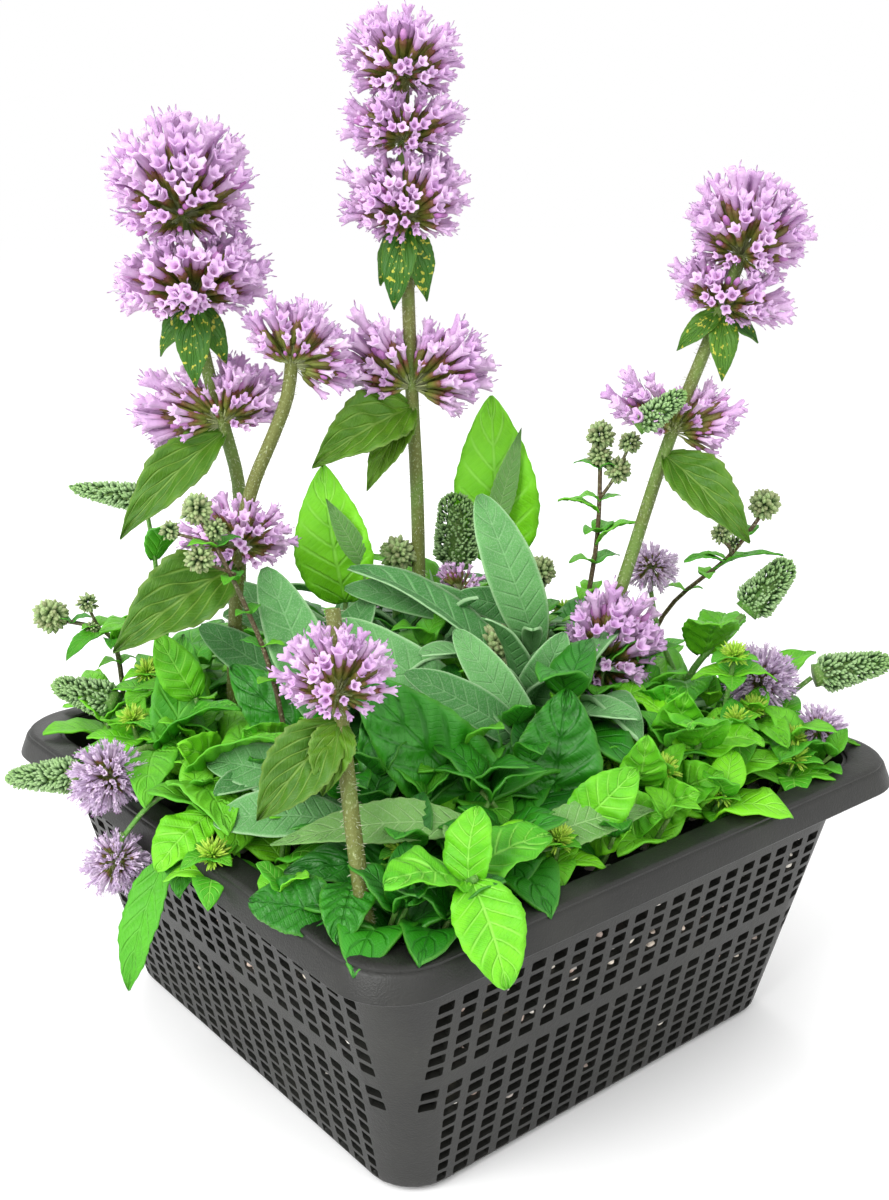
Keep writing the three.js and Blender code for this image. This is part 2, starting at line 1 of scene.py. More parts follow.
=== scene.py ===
"""Water mint in a square planting basket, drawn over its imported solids.

Lengths inside the classes are in millimetres. A finished piece is scaled to metres.
"""
import sys
import logging
import math
import random
from dataclasses import dataclass, field, replace
from enum import Enum
from typing import Callable, Iterable, Optional, Sequence

import bmesh
import bpy
import numpy as np
from mathutils import Matrix, Vector


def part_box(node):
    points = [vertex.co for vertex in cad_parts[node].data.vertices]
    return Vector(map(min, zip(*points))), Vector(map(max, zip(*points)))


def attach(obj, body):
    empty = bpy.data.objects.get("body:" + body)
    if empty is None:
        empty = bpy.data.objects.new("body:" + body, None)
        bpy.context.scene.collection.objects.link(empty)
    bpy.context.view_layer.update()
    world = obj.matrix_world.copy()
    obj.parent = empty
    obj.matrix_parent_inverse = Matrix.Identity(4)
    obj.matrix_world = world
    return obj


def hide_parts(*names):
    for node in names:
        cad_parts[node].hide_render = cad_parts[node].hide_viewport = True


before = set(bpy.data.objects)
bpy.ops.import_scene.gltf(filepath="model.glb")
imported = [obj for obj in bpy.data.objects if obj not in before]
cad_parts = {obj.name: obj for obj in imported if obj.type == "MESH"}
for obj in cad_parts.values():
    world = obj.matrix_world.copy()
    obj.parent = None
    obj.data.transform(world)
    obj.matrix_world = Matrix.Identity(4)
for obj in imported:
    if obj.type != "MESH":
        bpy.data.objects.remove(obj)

log = logging.getLogger("water_mint")
MM = 0.001
UP = Vector((0.0, 0.0, 1.0))
IN_PLACE = Matrix.Identity(4)
GOLDEN_TURN = 2.39996
TUFT_BUDS = 130
# The side that the camera looks from, and the level directions to the right and away from there.
VIEWER = (-0.5, -0.6, 0.4)
RIGHT_X, RIGHT_Y = 0.7735, -0.6338
AWAY_X, AWAY_Y = 0.6338, 0.7735
# The first seed of each group of pieces.
STEM_SEED, WHORL_SEED, SHOOT_SEED, HEAD_SEED = 100, 200, 300, 400
UNDERGROWTH_SEED, SPRAY_SEED, ACCENT_SEED = 500, 600, 700
Colour = tuple[float, float, float]


# ---- shader maths
class Socket:
    """An output of a shader tree that takes part in Python expressions."""

    def __init__(self, tree: "Tree", link: bpy.types.NodeSocket) -> None:
        """Wraps one output socket.

        Args:
            tree: The tree that the socket belongs to.
            link: Blender's own output socket.
        """
        self.tree = tree
        self.link = link

    def __add__(self, other: "Socket | float") -> "Socket":
        """Adds a value."""
        return self.tree.maths("ADD", self, other)

    __radd__ = __add__

    def __mul__(self, other: "Socket | float") -> "Socket":
        """Multiplies by a value."""
        return self.tree.maths("MULTIPLY", self, other)

    __rmul__ = __mul__

    def __sub__(self, other: "Socket | float") -> "Socket":
        """Takes a value away."""
        return self.tree.maths("SUBTRACT", self, other)

    def __rsub__(self, other: "Socket | float") -> "Socket":
        """Is taken away from a value."""
        return self.tree.maths("SUBTRACT", other, self)

    def __truediv__(self, other: "Socket | float") -> "Socket":
        """Divides by a value."""
        return self.tree.maths("DIVIDE", self, other)

    def __abs__(self) -> "Socket":
        """The size without its sign."""
        return self.tree.maths("ABSOLUTE", self)

    def power(self, other: float) -> "Socket":
        """Raises to a power."""
        return self.tree.maths("POWER", self, other)

    def pingpong(self, scale: float) -> "Socket":
        """The distance to the nearest even multiple of scale."""
        return self.tree.maths("PINGPONG", self, scale)

    def step(self, low: float, high: float) -> "Socket":
        """Rises smoothly from 0 at low to 1 at high."""
        return self.tree.add(
            "ShaderNodeMapRange",
            {"interpolation_type": "SMOOTHSTEP"},
            {"Value": self, "From Min": low, "From Max": high},
        )


class Tree:
    """The shader tree of one material, with a Principled shader at its end."""

    def __init__(self, name: str) -> None:
        """Makes the material and its shader.

        Args:
            name: The material's name.
        """
        self.material = bpy.data.materials.new(name)
        self.material.use_nodes = True
        self.nodes = self.material.node_tree.nodes
        self.links = self.material.node_tree.links
        self.shader = self.nodes["Principled BSDF"]

    def add(
        self,
        kind: str,
        settings: Optional[dict] = None,
        inputs: Optional[dict] = None,
        output: int | str = 0,
    ) -> Socket:
        """Adds any node.

        Args:
            kind: The node's type.
            settings: The node's own settings; "stops" sets a ramp's stops.
            inputs: Values or sockets for its inputs, by name or number.
            output: Which output to hand back.

        Returns:
            The chosen output.
        """
        node = self.nodes.new(kind)
        for key, value in (settings or {}).items():
            if key == "stops":
                self._set_stops(node, value)
            else:
                setattr(node, key, value)
        for key, value in (inputs or {}).items():
            self.feed(node.inputs[key], value)
        return Socket(self, node.outputs[output])

    @staticmethod
    def _set_stops(node: bpy.types.Node, stops: Sequence[tuple]) -> None:
        """Gives a ramp its stops.

        Args:
            node: The ramp.
            stops: Pairs of a place from 0 to 1 and a colour.
        """
        elements = node.color_ramp.elements
        while len(elements) < len(stops):
            elements.new(0.5)
        for element, (place, colour) in zip(elements, stops):
            element.position = place
            element.color = (*colour, 1.0)

    def feed(self, socket: bpy.types.NodeSocket, value: object) -> None:
        """Links a socket, or sets its value.

        Args:
            socket: The input.
            value: A Socket, a number or a colour.
        """
        if isinstance(value, Socket):
            self.links.new(value.link, socket)
        elif isinstance(value, tuple) and socket.type == "RGBA":
            socket.default_value = (*value[:3], 1.0)
        else:
            socket.default_value = value

    def maths(self, operation: str, *values: "Socket | float") -> Socket:
        """Adds a Math node.

        Args:
            operation: Its operation.
            values: What it works on.

        Returns:
            Its value.
        """
        return self.add(
            "ShaderNodeMath", {"operation": operation}, dict(enumerate(values))
        )

    def mix(self, first: object, second: object, share: object, way: str = "MIX") -> Socket:
        """Mixes two colours.

        Args:
            first: The colour at share 0.
            second: The colour at share 1.
            share: How much of the second.
            way: The blend type.

        Returns:
            The mixed colour.
        """
        settings = {"data_type": "RGBA", "blend_type": way, "clamp_factor": True}
        return self.add(
            "ShaderNodeMix", settings, {0: share, 6: first, 7: second}, 2
        )

    def attribute(self, name: str) -> Socket:
        """The value of one of the mesh's own number attributes."""
        return self.add("ShaderNodeAttribute", {"attribute_name": name}, {}, "Fac")

    def place(self) -> Socket:
        """The piece's own coordinates, in metres."""
        return self.add("ShaderNodeTexCoord", {}, {}, "Object")

    def noise(self, scale: float, detail: float = 3.0, rough: float = 0.55) -> Socket:
        """Cloudy noise from 0 to 1 over the piece.

        Args:
            scale: Clouds per metre.
            detail: Octaves.
            rough: How strong the fine octaves are.

        Returns:
            The noise value.
        """
        values = {"Vector": self.place(), "Scale": scale, "Detail": detail, "Roughness": rough}
        return self.add("ShaderNodeTexNoise", {}, values)

    def leaf_axes(self) -> tuple[Socket, Socket]:
        """Where a point lies on its leaf.

        Returns:
            The distance from the midrib, 0 to 1, and the share along the leaf.
        """
        chart = self.add("ShaderNodeUVMap", {"uv_map": "leaf"})
        split = self.nodes.new("ShaderNodeSeparateXYZ")
        self.links.new(chart.link, split.inputs[0])
        across = Socket(self, split.outputs[0])
        along = Socket(self, split.outputs[1])
        return abs(across * 2.0 - 1.0), along

    def dress(
        self, colour: object, roughness: object, height: Optional[Socket], bump: float
    ) -> None:
        """Feeds the shader.

        Args:
            colour: The base colour.
            roughness: The roughness.
            height: The bump's height, or None.
            bump: How deep the bump is, in metres.
        """
        self.feed(self.shader.inputs["Base Color"], colour)
        self.feed(self.shader.inputs["Roughness"], roughness)
        if height is not None:
            values = {"Height": height, "Distance": bump, "Strength": 0.8}
            normal = self.add("ShaderNodeBump", {}, values)
            self.feed(self.shader.inputs["Normal"], normal)


# ---- finishes
@dataclass(frozen=True)
class Finish:
    """What every finish has: a name and a way to make its material."""

    name: str

    def tree(self) -> Tree:
        """Makes the shader tree. Each finish has its own."""
        raise NotImplementedError

    def material(self) -> bpy.types.Material:
        """The finish's material, made once."""
        found = bpy.data.materials.get(self.name)
        return found or self.tree().material


@dataclass(frozen=True)
class LeafFinish(Finish):
    """A leaf's skin: blade, veins, pale edge and the change from leaf to leaf."""

    blade: Colour = (0.05, 0.3, 0.02)
    fresh: Colour = (0.12, 0.5, 0.02)
    vein: Colour = (0.2, 0.6, 0.08)
    edge: Colour = (0.2, 0.5, 0.1)
    veins: float = 7.0
    slope: float = 1.6
    vein_strength: float = 0.6
    edge_strength: float = 0.3
    gloss: float = 0.42
    down: float = 0.0
    spots: float = 0.0

    def tree(self) -> Tree:
        """Makes the leaf's shader tree."""
        tree = Tree(self.name)
        away, along = tree.leaf_axes()
        tint = tree.attribute("tint")
        cloud = tree.noise(170.0, 4.0)
        grain = tree.noise(2600.0, 2.0)
        ribs = (along * self.veins - away * self.slope).pingpong(0.5)
        rib = 1.0 - ribs.step(0.02, 0.15)
        rib = rib * (1.0 - away.step(0.55, 1.0))
        fine = (along * (self.veins * 3.3) + away * (self.slope * 2.6)).pingpong(0.5)
        fine = (1.0 - fine.step(0.0, 0.16)) * 0.2
        middle = 1.0 - away.step(0.015, 0.075)
        lines = tree.maths("MAXIMUM", middle, tree.maths("MAXIMUM", rib, fine))
        share = (tint * 0.75 + cloud * 0.7 - 0.25).step(0.0, 1.0)
        skin = tree.mix(self.blade, self.fresh, share)
        # Veins take the vein colour; where that colour is darker than the blade, as on the broad leaf,
        # it is painted shade in the sunken grooves.
        skin = tree.mix(skin, self.vein, lines * self.vein_strength)
        skin = tree.mix(skin, self.edge, away.step(0.86, 1.0) * self.edge_strength)
        if self.down:
            skin = tree.mix(skin, (0.62, 0.72, 0.58), grain.step(0.42, 0.7) * self.down)
        if self.spots:
            fleck = tree.noise(760.0, 1.0).step(0.61, 0.68) * self.spots
            skin = tree.mix(skin, (0.5, 0.5, 0.05), fleck)
        rough = self.gloss + cloud * 0.16 + grain * 0.08
        height = (1.0 - lines) * 0.7 + grain * 0.3
        tree.dress(skin, rough, height, 0.0005)
        tree.shader.inputs["Specular IOR Level"].default_value = 0.42
        return tree


@dataclass(frozen=True)
class StalkFinish(Finish):
    """A stalk's skin: ribbed green, flushed brown in places, with pale down."""

    green: Colour = (0.2, 0.26, 0.06)
    flush: Colour = (0.16, 0.1, 0.04)
    pale: Colour = (0.5, 0.52, 0.3)
    flushed: float = 0.5

    def tree(self) -> Tree:
        """Makes the stalk's shader tree."""
        tree = Tree(self.name)
        patch = tree.noise(70.0, 3.0)
        grain = tree.noise(1500.0, 3.0)
        tint = tree.attribute("tint")
        share = (patch + tint * 0.3).step(0.45, 0.8) * self.flushed
        skin = tree.mix(self.green, self.flush, share)
        skin = tree.mix(skin, self.pale, grain.step(0.52, 0.74) * 0.6)
        tree.dress(skin, grain * 0.3 + 0.5, grain + patch * 0.4, 0.0004)
        return tree


@dataclass(frozen=True)
class PetalFinish(Finish):
    """A floret's part: one colour at its base, another at its lip."""

    base: Colour = (0.3, 0.15, 0.38)
    lip: Colour = (0.7, 0.5, 0.8)
    other: Colour = (0.55, 0.33, 0.68)
    reach_low: float = 0.1
    reach_high: float = 0.8
    gloss: float = 0.55

    def tree(self) -> Tree:
        """Makes the floret's shader tree."""
        tree = Tree(self.name)
        reach = tree.attribute("reach")
        tint = tree.attribute("tint")
        grain = tree.noise(1400.0, 3.0)
        lip = tree.mix(self.lip, self.other, tint)
        lip = tree.mix(lip, self.base, grain.step(0.55, 0.85) * 0.35)
        skin = tree.mix(self.base, lip, reach.step(self.reach_low, self.reach_high))
        tree.dress(skin, grain * 0.2 + (self.gloss - 0.1), grain, 0.0003)
        return tree


@dataclass(frozen=True)
class PlasticFinish(Finish):
    """Moulded charcoal plastic with a soft sheen, handling marks and dust."""

    body: Colour = (0.0075, 0.0077, 0.0062)
    worn: Colour = (0.018, 0.0184, 0.0148)
    dust: Colour = (0.055, 0.054, 0.044)

    def tree(self) -> Tree:
        """Makes the plastic's shader tree."""
        tree = Tree(self.name)
        cloud = tree.noise(28.0, 5.0, 0.6)
        grain = tree.noise(2200.0, 2.0)
        marks = tree.noise(330.0, 4.0, 0.7)
        skin = tree.mix(self.body, self.worn, cloud.step(0.35, 0.75))
        skin = tree.mix(skin, self.dust, marks.step(0.6, 0.85) * 0.4)
        rough = cloud * 0.22 + marks * 0.12 + 0.3
        tree.dress(skin, rough, grain * 0.7 + marks * 0.6, 0.00022)
        return tree


@dataclass(frozen=True)
class StoneFinish(Finish):
    """Rounded gravel, each stone with its own shade, speckled."""

    pale: Colour = (0.74, 0.68, 0.57)
    warm: Colour = (0.6, 0.42, 0.34)
    grey: Colour = (0.33, 0.31, 0.28)

    def tree(self) -> Tree:
        """Makes the stone's shader tree."""
        tree = Tree(self.name)
        tint = tree.attribute("tint")
        speck = tree.noise(900.0, 4.0, 0.7)
        cloud = tree.noise(160.0, 3.0)
        stops = [(0.0, self.grey), (0.35, self.warm), (0.6, self.pale), (1.0, (0.8, 0.77, 0.7))]
        skin = tree.add("ShaderNodeValToRGB", {"stops": stops}, {0: tint})
        skin = tree.mix(skin, self.grey, speck.step(0.56, 0.75) * 0.5)
        tree.dress(skin, cloud * 0.3 + 0.4, speck, 0.0005)
        return tree


@dataclass(frozen=True)
class CompostFinish(Finish):
    """Wet dark compost with a few pale stones pressed against the mesh."""

    dark: Colour = (0.006, 0.005, 0.004)
    crumb: Colour = (0.035, 0.025, 0.016)
    stone: Colour = (0.62, 0.56, 0.42)

    def tree(self) -> Tree:
        """Makes the compost's shader tree."""
        tree = Tree(self.name)
        crumb = tree.noise(420.0, 5.0, 0.7)
        values = {"Vector": tree.place(), "Scale": 95.0, "Randomness": 1.0}
        cell = tree.add("ShaderNodeTexVoronoi", {"feature": "F1"}, values, "Distance")
        shade = tree.noise(42.0, 2.0)
        skin = tree.mix(self.dark, self.crumb, crumb.step(0.45, 0.75))
        stones = (1.0 - cell.step(0.14, 0.24)) * shade.step(0.55, 0.6)
        skin = tree.mix(skin, self.stone, stones)
        tree.dress(skin, 0.9 - stones * 0.3, crumb, 0.001)
        return tree


@dataclass(frozen=True)
class FloorFinish(Finish):
    """The plain pale floor."""

    shade: Colour = (1.0, 1.0, 1.0)

    def tree(self) -> Tree:
        """Makes the floor's shader tree."""
        tree = Tree(self.name)
        tree.dress(self.shade, 1.0, None, 0.0)
        tree.shader.inputs["Specular IOR Level"].default_value = 0.0
        return tree


PLASTIC = PlasticFinish("basket_plastic_satin")
STONE = StoneFinish("gravel_stones")
COMPOST = CompostFinish("wet_compost")
TALL_STALK = StalkFinish(
    "tall_stalk", (0.13, 0.23, 0.035), (0.13, 0.09, 0.02), (0.46, 0.54, 0.28), flushed=0.6
)
GREEN_STALK = StalkFinish("green_stalk", (0.09, 0.27, 0.03), (0.14, 0.16, 0.04), flushed=0.4)
BROWN_STALK = StalkFinish("brown_stalk", (0.07, 0.07, 0.025), (0.09, 0.04, 0.02), flushed=0.8)
HAIR = StalkFinish("stalk_down", (0.5, 0.54, 0.38), (0.45, 0.44, 0.32), (0.7, 0.7, 0.55))
LILAC = PetalFinish(
    "lilac_lip", (0.42, 0.17, 0.36), (0.77, 0.55, 0.79), (0.6, 0.36, 0.64), 0.05, 0.7
)
DEEP_LILAC = PetalFinish(
    "lilac_bud", (0.4, 0.16, 0.34), (0.52, 0.24, 0.5), (0.4, 0.14, 0.4), 0.0, 0.7
)
MAUVE = PetalFinish(
    "mauve_lip", (0.32, 0.18, 0.3), (0.74, 0.61, 0.76), (0.56, 0.43, 0.62), 0.0, 0.6
)
CALYX = PetalFinish(
    "calyx", (0.19, 0.23, 0.035), (0.16, 0.035, 0.025), (0.13, 0.11, 0.012), 0.2, 0.95, 0.5
)
PEDICEL = PetalFinish("floret_stalk", (0.5, 0.55, 0.3), (0.36, 0.42, 0.16), (0.3, 0.3, 0.12))
STAMEN = PetalFinish("stamen", (0.6, 0.45, 0.66), (0.26, 0.08, 0.26), (0.3, 0.1, 0.3), 0.6, 0.95)
SPIKE_BUD = PetalFinish(
    "spike_bud", (0.035, 0.1, 0.025), (0.34, 0.5, 0.24), (0.22, 0.42, 0.1), 0.2, 0.95
)
TUFT_BUD = PetalFinish(
    "tuft_bud", (0.12, 0.34, 0.012), (0.34, 0.64, 0.04), (0.42, 0.58, 0.06), 0.0, 0.8
)
SPRIG_BUD = PetalFinish(
    "sprig_bud", (0.05, 0.12, 0.03), (0.36, 0.5, 0.2), (0.28, 0.3, 0.14), 0.15, 1.0
)
MINT_SKIN = LeafFinish(
    "mint_leaf_skin", (0.035, 0.27, 0.006), (0.16, 0.55, 0.012), (0.2, 0.6, 0.06),
    (0.1, 0.45, 0.03), 6.0, 1.5, 0.35, 0.25, 0.4,
)
RIM_SKIN = LeafFinish(
    "rim_leaf_skin", (0.02, 0.2, 0.004), (0.08, 0.4, 0.01), (0.12, 0.45, 0.04),
    (0.1, 0.4, 0.03), 6.0, 1.6, 0.4, 0.3, 0.4,
)
BRIGHT_SKIN = LeafFinish(
    "bright_leaf_skin", (0.045, 0.34, 0.004), (0.2, 0.66, 0.008), (0.32, 0.76, 0.1),
    (0.16, 0.55, 0.02), 7.0, 1.7, 0.5, 0.2, 0.42,
)
OLIVE_SKIN = LeafFinish(
    "olive_leaf_skin", (0.022, 0.11, 0.002), (0.11, 0.26, 0.004), (0.22, 0.36, 0.06),
    (0.22, 0.34, 0.06), 5.0, 3.2, 0.45, 0.4, 0.38,
)
HANGING_SKIN = LeafFinish(
    "hanging_leaf_skin", (0.014, 0.11, 0.003), (0.1, 0.24, 0.005), (0.04, 0.15, 0.008),
    (0.14, 0.28, 0.02), 4.0, 3.4, 0.5, 0.3, 0.34, 0.0, 0.95,
)
SAGE_SKIN = LeafFinish(
    "sage_leaf_skin", (0.035, 0.19, 0.03), (0.14, 0.38, 0.11), (0.24, 0.5, 0.2),
    (0.42, 0.66, 0.35), 11.0, 1.4, 0.35, 0.6, 0.6, 0.13,
)
# The broad leaf's vein colour is darker than its blade: painted shade in the sunken vein grooves.
BROAD_SKIN = LeafFinish(
    "broad_leaf_skin", (0.006, 0.11, 0.003), (0.03, 0.27, 0.008), (0.004, 0.075, 0.004),
    (0.08, 0.3, 0.02), 6.0, 1.8, 0.4, 0.4, 0.27,
)
PALE_SKIN = LeafFinish(
    "pale_leaf_skin", (0.09, 0.27, 0.04), (0.2, 0.42, 0.1), (0.32, 0.55, 0.2),
    (0.36, 0.58, 0.2), 13.0, 1.6, 0.5, 0.3, 0.55, 0.1,
)


# ---- mesh helpers
@dataclass
class Template:
    """A small mesh that is copied many times, and the finishes of its faces."""

    mesh: bpy.types.Mesh
    finishes: tuple[Finish, ...]
    parts: np.ndarray = field(init=False)

    def __post_init__(self) -> None:
        """Remembers which finish each face has."""
        self.parts = np.zeros(len(self.mesh.polygons), dtype=np.int32)
        self.mesh.polygons.foreach_get("material_index", self.parts)

    @staticmethod
    def of(bm: bmesh.types.BMesh, finishes: Iterable[Finish]) -> "Template":
        """Turns a bmesh into a template and frees it.

        Args:
            bm: The shape, in millimetres.
            finishes: One finish per material index.

        Returns:
            The template.
        """
        mesh = bpy.data.meshes.new("template")
        for face in bm.faces:
            face.smooth = True
        bm.to_mesh(mesh)
        bm.free()
        return Template(mesh, tuple(finishes))


class Builder:
    """Collects copies of templates into one piece of the model."""

    def __init__(self) -> None:
        """Starts an empty piece."""
        self.bm = fresh()
        self.finishes: list[Finish] = []

    def slot(self, finish: Finish) -> int:
        """The number of the finish's slot in this piece."""
        if finish not in self.finishes:
            self.finishes.append(finish)
        return self.finishes.index(finish)

    def put(self, template: Template, matrix: Matrix, tint: float = 0.5) -> None:
        """Adds a copy of a template.

        Args:
            template: What to copy.
            matrix: Where it goes.
            tint: Its shade, from 0 to 1.
        """
        mesh = template.mesh
        slots = np.array([self.slot(f) for f in template.finishes], dtype=np.int32)
        mesh.polygons.foreach_set("material_index", slots[template.parts])
        shades = np.full(len(mesh.vertices), tint, dtype=np.float32)
        mesh.attributes["tint"].data.foreach_set("value", shades)
        mesh.transform(matrix)
        self.bm.from_mesh(mesh)
        mesh.transform(matrix.inverted())

    def finish(self, name: str, slot: str, nodes: Sequence[str] = ()) -> bpy.types.Object:
        """Makes the piece's object and tells the frame about it.

        Args:
            name: The piece's name.
            slot: Not used.
            nodes: The CAD nodes that it stands for.

        Returns:
            The object.
        """
        bmesh.ops.scale(self.bm, vec=(MM, MM, MM), verts=self.bm.verts[:])
        mesh = bpy.data.meshes.new(name)
        self.bm.to_mesh(mesh)
        self.bm.free()
        for finish in self.finishes:
            mesh.materials.append(finish.material())
        made = bpy.data.objects.new(name, mesh)
        bpy.context.scene.collection.objects.link(made)
        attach(made, "root")
        if nodes:
            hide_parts(*nodes)
        log.info("%s: %d faces", name, len(mesh.polygons))
        return made


def aimed(base: Vector, towards: Vector, face: Vector, scale: float = 1.0) -> Matrix:
    """A frame whose Y points along towards and whose Z faces face.

    Args:
        base: The origin.
        towards: The direction of Y.
        face: The side that Z is nearest to.
        scale: A size factor.

    Returns:
        The matrix.
    """
    y = towards.normalized()
    x = y.cross(face)
    if x.length < 1e-4:
        x = y.orthogonal()
    x.normalize()
    z = x.cross(y)
    turn = Matrix((x, y, z)).transposed().to_4x4()
    return Matrix.Translation(base) @ turn @ Matrix.Scale(scale, 4)


def any_way(dice: random.Random) -> Vector:
    """A vector of chance, as likely to point one way as another."""
    return Vector((dice.gauss(0, 1), dice.gauss(0, 1), dice.gauss(0, 1)))


def smooth_path(points: Sequence[Vector], count: int) -> list[Vector]:
    """A smooth path through points.

    Args:
        points: What it passes through.
        count: How many points it gets.

    Returns:
        The points, evenly spread over the given ones.
    """
    path = []
    last = len(points) - 1
    for k in range(count):
        t = k / (count - 1) * last
        i = min(int(t), last - 1)
        t -= i
        a, b = points[max(i - 1, 0)], points[i]
        c, d = points[i + 1], points[min(i + 2, last)]
        bend = (c - a) * 0.5
        leave = (d - b) * 0.5
        path.append(
            b * (2 * t**3 - 3 * t**2 + 1)
            + bend * (t**3 - 2 * t**2 + t)
            + c * (3 * t**2 - 2 * t**3)
            + leave * (t**3 - t**2)
        )
    return path


def share_of(path: Sequence[Vector], share: float) -> Vector:
    """The point at a share of a path's length.

    Args:
        path: The path's points.
        share: From 0 to 1.

    Returns:
        The point.
    """
    steps = [(b - a).length for a, b in zip(path, path[1:])]
    left = share * sum(steps)
    for start, end, step in zip(path, path[1:], steps):
        if left <= step:
            return start.lerp(end, left / step if step else 0.0)
        left -= step
    return path[-1].copy()


def at_height(path: Sequence[Vector], z: float) -> Vector:
    """The point of a rising path at a height, or its nearest end."""
    for start, end in zip(path, path[1:]):
        if start.z <= z <= end.z:
            return start.lerp(end, (z - start.z) / (end.z - start.z))
    return (path[-1] if z > path[-1].z else path[0]).copy()


def root_of(path: Sequence[Vector], node: str) -> Vector:
    """The point of a path that lies nearest to a CAD node."""
    points = cad_points(node)
    return min(path, key=lambda spot: min((spot - p).length for p in points)).copy()


def fresh() -> bmesh.types.BMesh:
    """An empty mesh with the same layers as every piece: a leaf chart, a tint and a reach."""
    bm = bmesh.new()
    bm.loops.layers.uv.new("leaf")
    bm.verts.layers.float.new("tint")
    bm.verts.layers.float.new("reach")
    return bm


def sleeve(
    bm: bmesh.types.BMesh,
    sides: int,
    rings: int,
    place: Callable[[int, int], tuple[Vector, float]],
    part: int = 0,
    closed: bool = True,
) -> None:
    """A skin through rings of points, made by drawing one ring out again and again.

    Args:
        bm: Where it is made.
        sides: Points in each ring.
        rings: How many rings.
        place: Gives the place and the reach of a ring's point.
        part: The material index of its faces.
        closed: True to cap both ends, False to join the last ring to the first.
    """
    layers = bm.verts.layers
    turn = layers.int.get("turn") or layers.int.new("turn")
    row = layers.int.get("row") or layers.int.new("row")
    reach = layers.float["reach"]
    first_face = len(bm.faces)
    verts = bmesh.ops.create_circle(bm, cap_ends=False, segments=sides, radius=1.0)["verts"]
    for index, vert in enumerate(verts):
        vert[turn] = index
    edges = list({edge for vert in verts for edge in vert.link_edges})
    start = edges
    for ring in range(rings):
        if ring:
            out = bmesh.ops.extrude_edge_only(bm, edges=edges)["geom"]
            verts = [g for g in out if isinstance(g, bmesh.types.BMVert)]
            ends = set(verts)
            edges = [
                g for g in out
                if isinstance(g, bmesh.types.BMEdge) and ends.issuperset(g.verts)
            ]
        for vert in verts:
            vert.co, vert[reach] = place(ring, vert[turn])
            vert[row] = ring
    if closed:
        bmesh.ops.holes_fill(bm, edges=start + edges, sides=0)
    else:
        bmesh.ops.bridge_loops(bm, edges=start + edges)
    bm.faces.ensure_lookup_table()
    for face in bm.faces[first_face:]:
        face.material_index = part


def settle(bm: bmesh.types.BMesh) -> None:
    """Turns all faces outwards and drops the helper numbers.

    Args:
        bm: The finished shape.
    """
    bmesh.ops.recalc_face_normals(bm, faces=bm.faces[:])
    for name in ("turn", "row"):
        layer = bm.verts.layers.int.get(name)
        if layer:
            bm.verts.layers.int.remove(layer)


def stalk(
    path: Sequence[Vector],
    start: float,
    end: float,
    finish: Finish,
    sides: int = 8,
    square: float = 0.0,
) -> Template:
    """A stalk along a path.

    Args:
        path: Its centre line.
        start: Radius at its foot.
        end: Radius at its top.
        finish: Its skin.
        sides: Faces around.
        square: How four-sided it is.

    Returns:
        The template, already in place.
    """
    last = len(path) - 1

    def place(ring: int, index: int) -> tuple[Vector, float]:
        """A point of the stalk's skin and its share of the height."""
        along = (path[min(ring + 1, last)] - path[max(ring - 1, 0)]).normalized()
        x = along.cross(Vector((0.6, 0.8, 0.05))).normalized()
        y = along.cross(x)
        turn = 2 * math.pi * index / sides
        radius = start + (end - start) * ring / last
        radius *= 1.0 + square * math.cos(4 * turn)
        out = x * math.cos(turn) + y * math.sin(turn)
        return path[ring] + out * radius, ring / last

    bm = fresh()
    sleeve(bm, sides, len(path), place)
    settle(bm)
    return Template.of(bm, [finish])


def thin_stalk(piece: Builder, line: Sequence[Vector], dice: random.Random, top: float = 0.7
               ) -> None:
    """Adds a thin green stalk along a line to a piece."""
    piece.put(stalk(line, 0.9, top, GREEN_STALK, 6), IN_PLACE, dice.random())


# ---- places
class Places:
    """Points of the plant, by shares of the basket and of the plant's height."""

    def __init__(self, flare: float = 1.8, tip_share: float = 0.9956) -> None:
        """Reads the basket and the tallest flower.

        Args:
            flare: How far the skirt stands out from the rim.
            tip_share: The tallest flower's top over the plant's height.
        """
        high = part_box("basket")[1] / MM
        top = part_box("whorl_centre_top")[1].z / MM
        self.rim = high.z
        self.half = high.x - flare
        self.height = (top - high.z) / tip_share
        self.ground_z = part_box("gravel")[1].z / MM - 1.0
        self.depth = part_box("soil")[1].z / MM

    def spot(self, x: float, y: float, z: float) -> Vector:
        """A point above the rim by its shares."""
        return Vector((x * self.half, y * self.half, self.rim + z * self.height))

    def foot(self, x: float, y: float) -> Vector:
        """A point on the compost, under the gravel."""
        return Vector((x * self.half, y * self.half, self.depth + 0.3))

    def path(self, marks: Sequence[tuple], count: int = 0) -> list[Vector]:
        """A smooth path through marks; a mark of two shares stands on the compost.

        Args:
            marks: Shares of two or three numbers each.
            count: How many points it gets, or 0 for 5 between marks.

        Returns:
            The path.
        """
        points = [self.foot(*m) if len(m) == 2 else self.spot(*m) for m in marks]
        return smooth_path(points, count or 5 * (len(points) - 1) + 1)


def real(node: str) -> tuple[str, ...]:
    """The node by itself if the CAD model has it, or nothing."""
    return (node,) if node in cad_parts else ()


def cad_points(node: str) -> list[Vector]:
    """The corners of a CAD node, in millimetres, each once.

    Args:
        node: The node's name.

    Returns:
        The points.
    """
    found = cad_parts[node]
    world = found.matrix_world
    seen: dict[tuple, Vector] = {}
    for vert in found.data.vertices:
        point = (world @ vert.co) / MM
        seen[tuple(round(c, 2) for c in point)] = point
    return list(seen.values())


def cad_faces(node: str) -> list[tuple[Vector, Vector, Vector]]:
    """The corners of each triangle of a CAD node, in millimetres.

    Args:
        node: The node's name.

    Returns:
        Three corners per triangle.
    """
    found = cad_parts[node]
    points = [(found.matrix_world @ v.co) / MM for v in found.data.vertices]
    return [tuple(points[i] for i in p.vertices) for p in found.data.polygons]


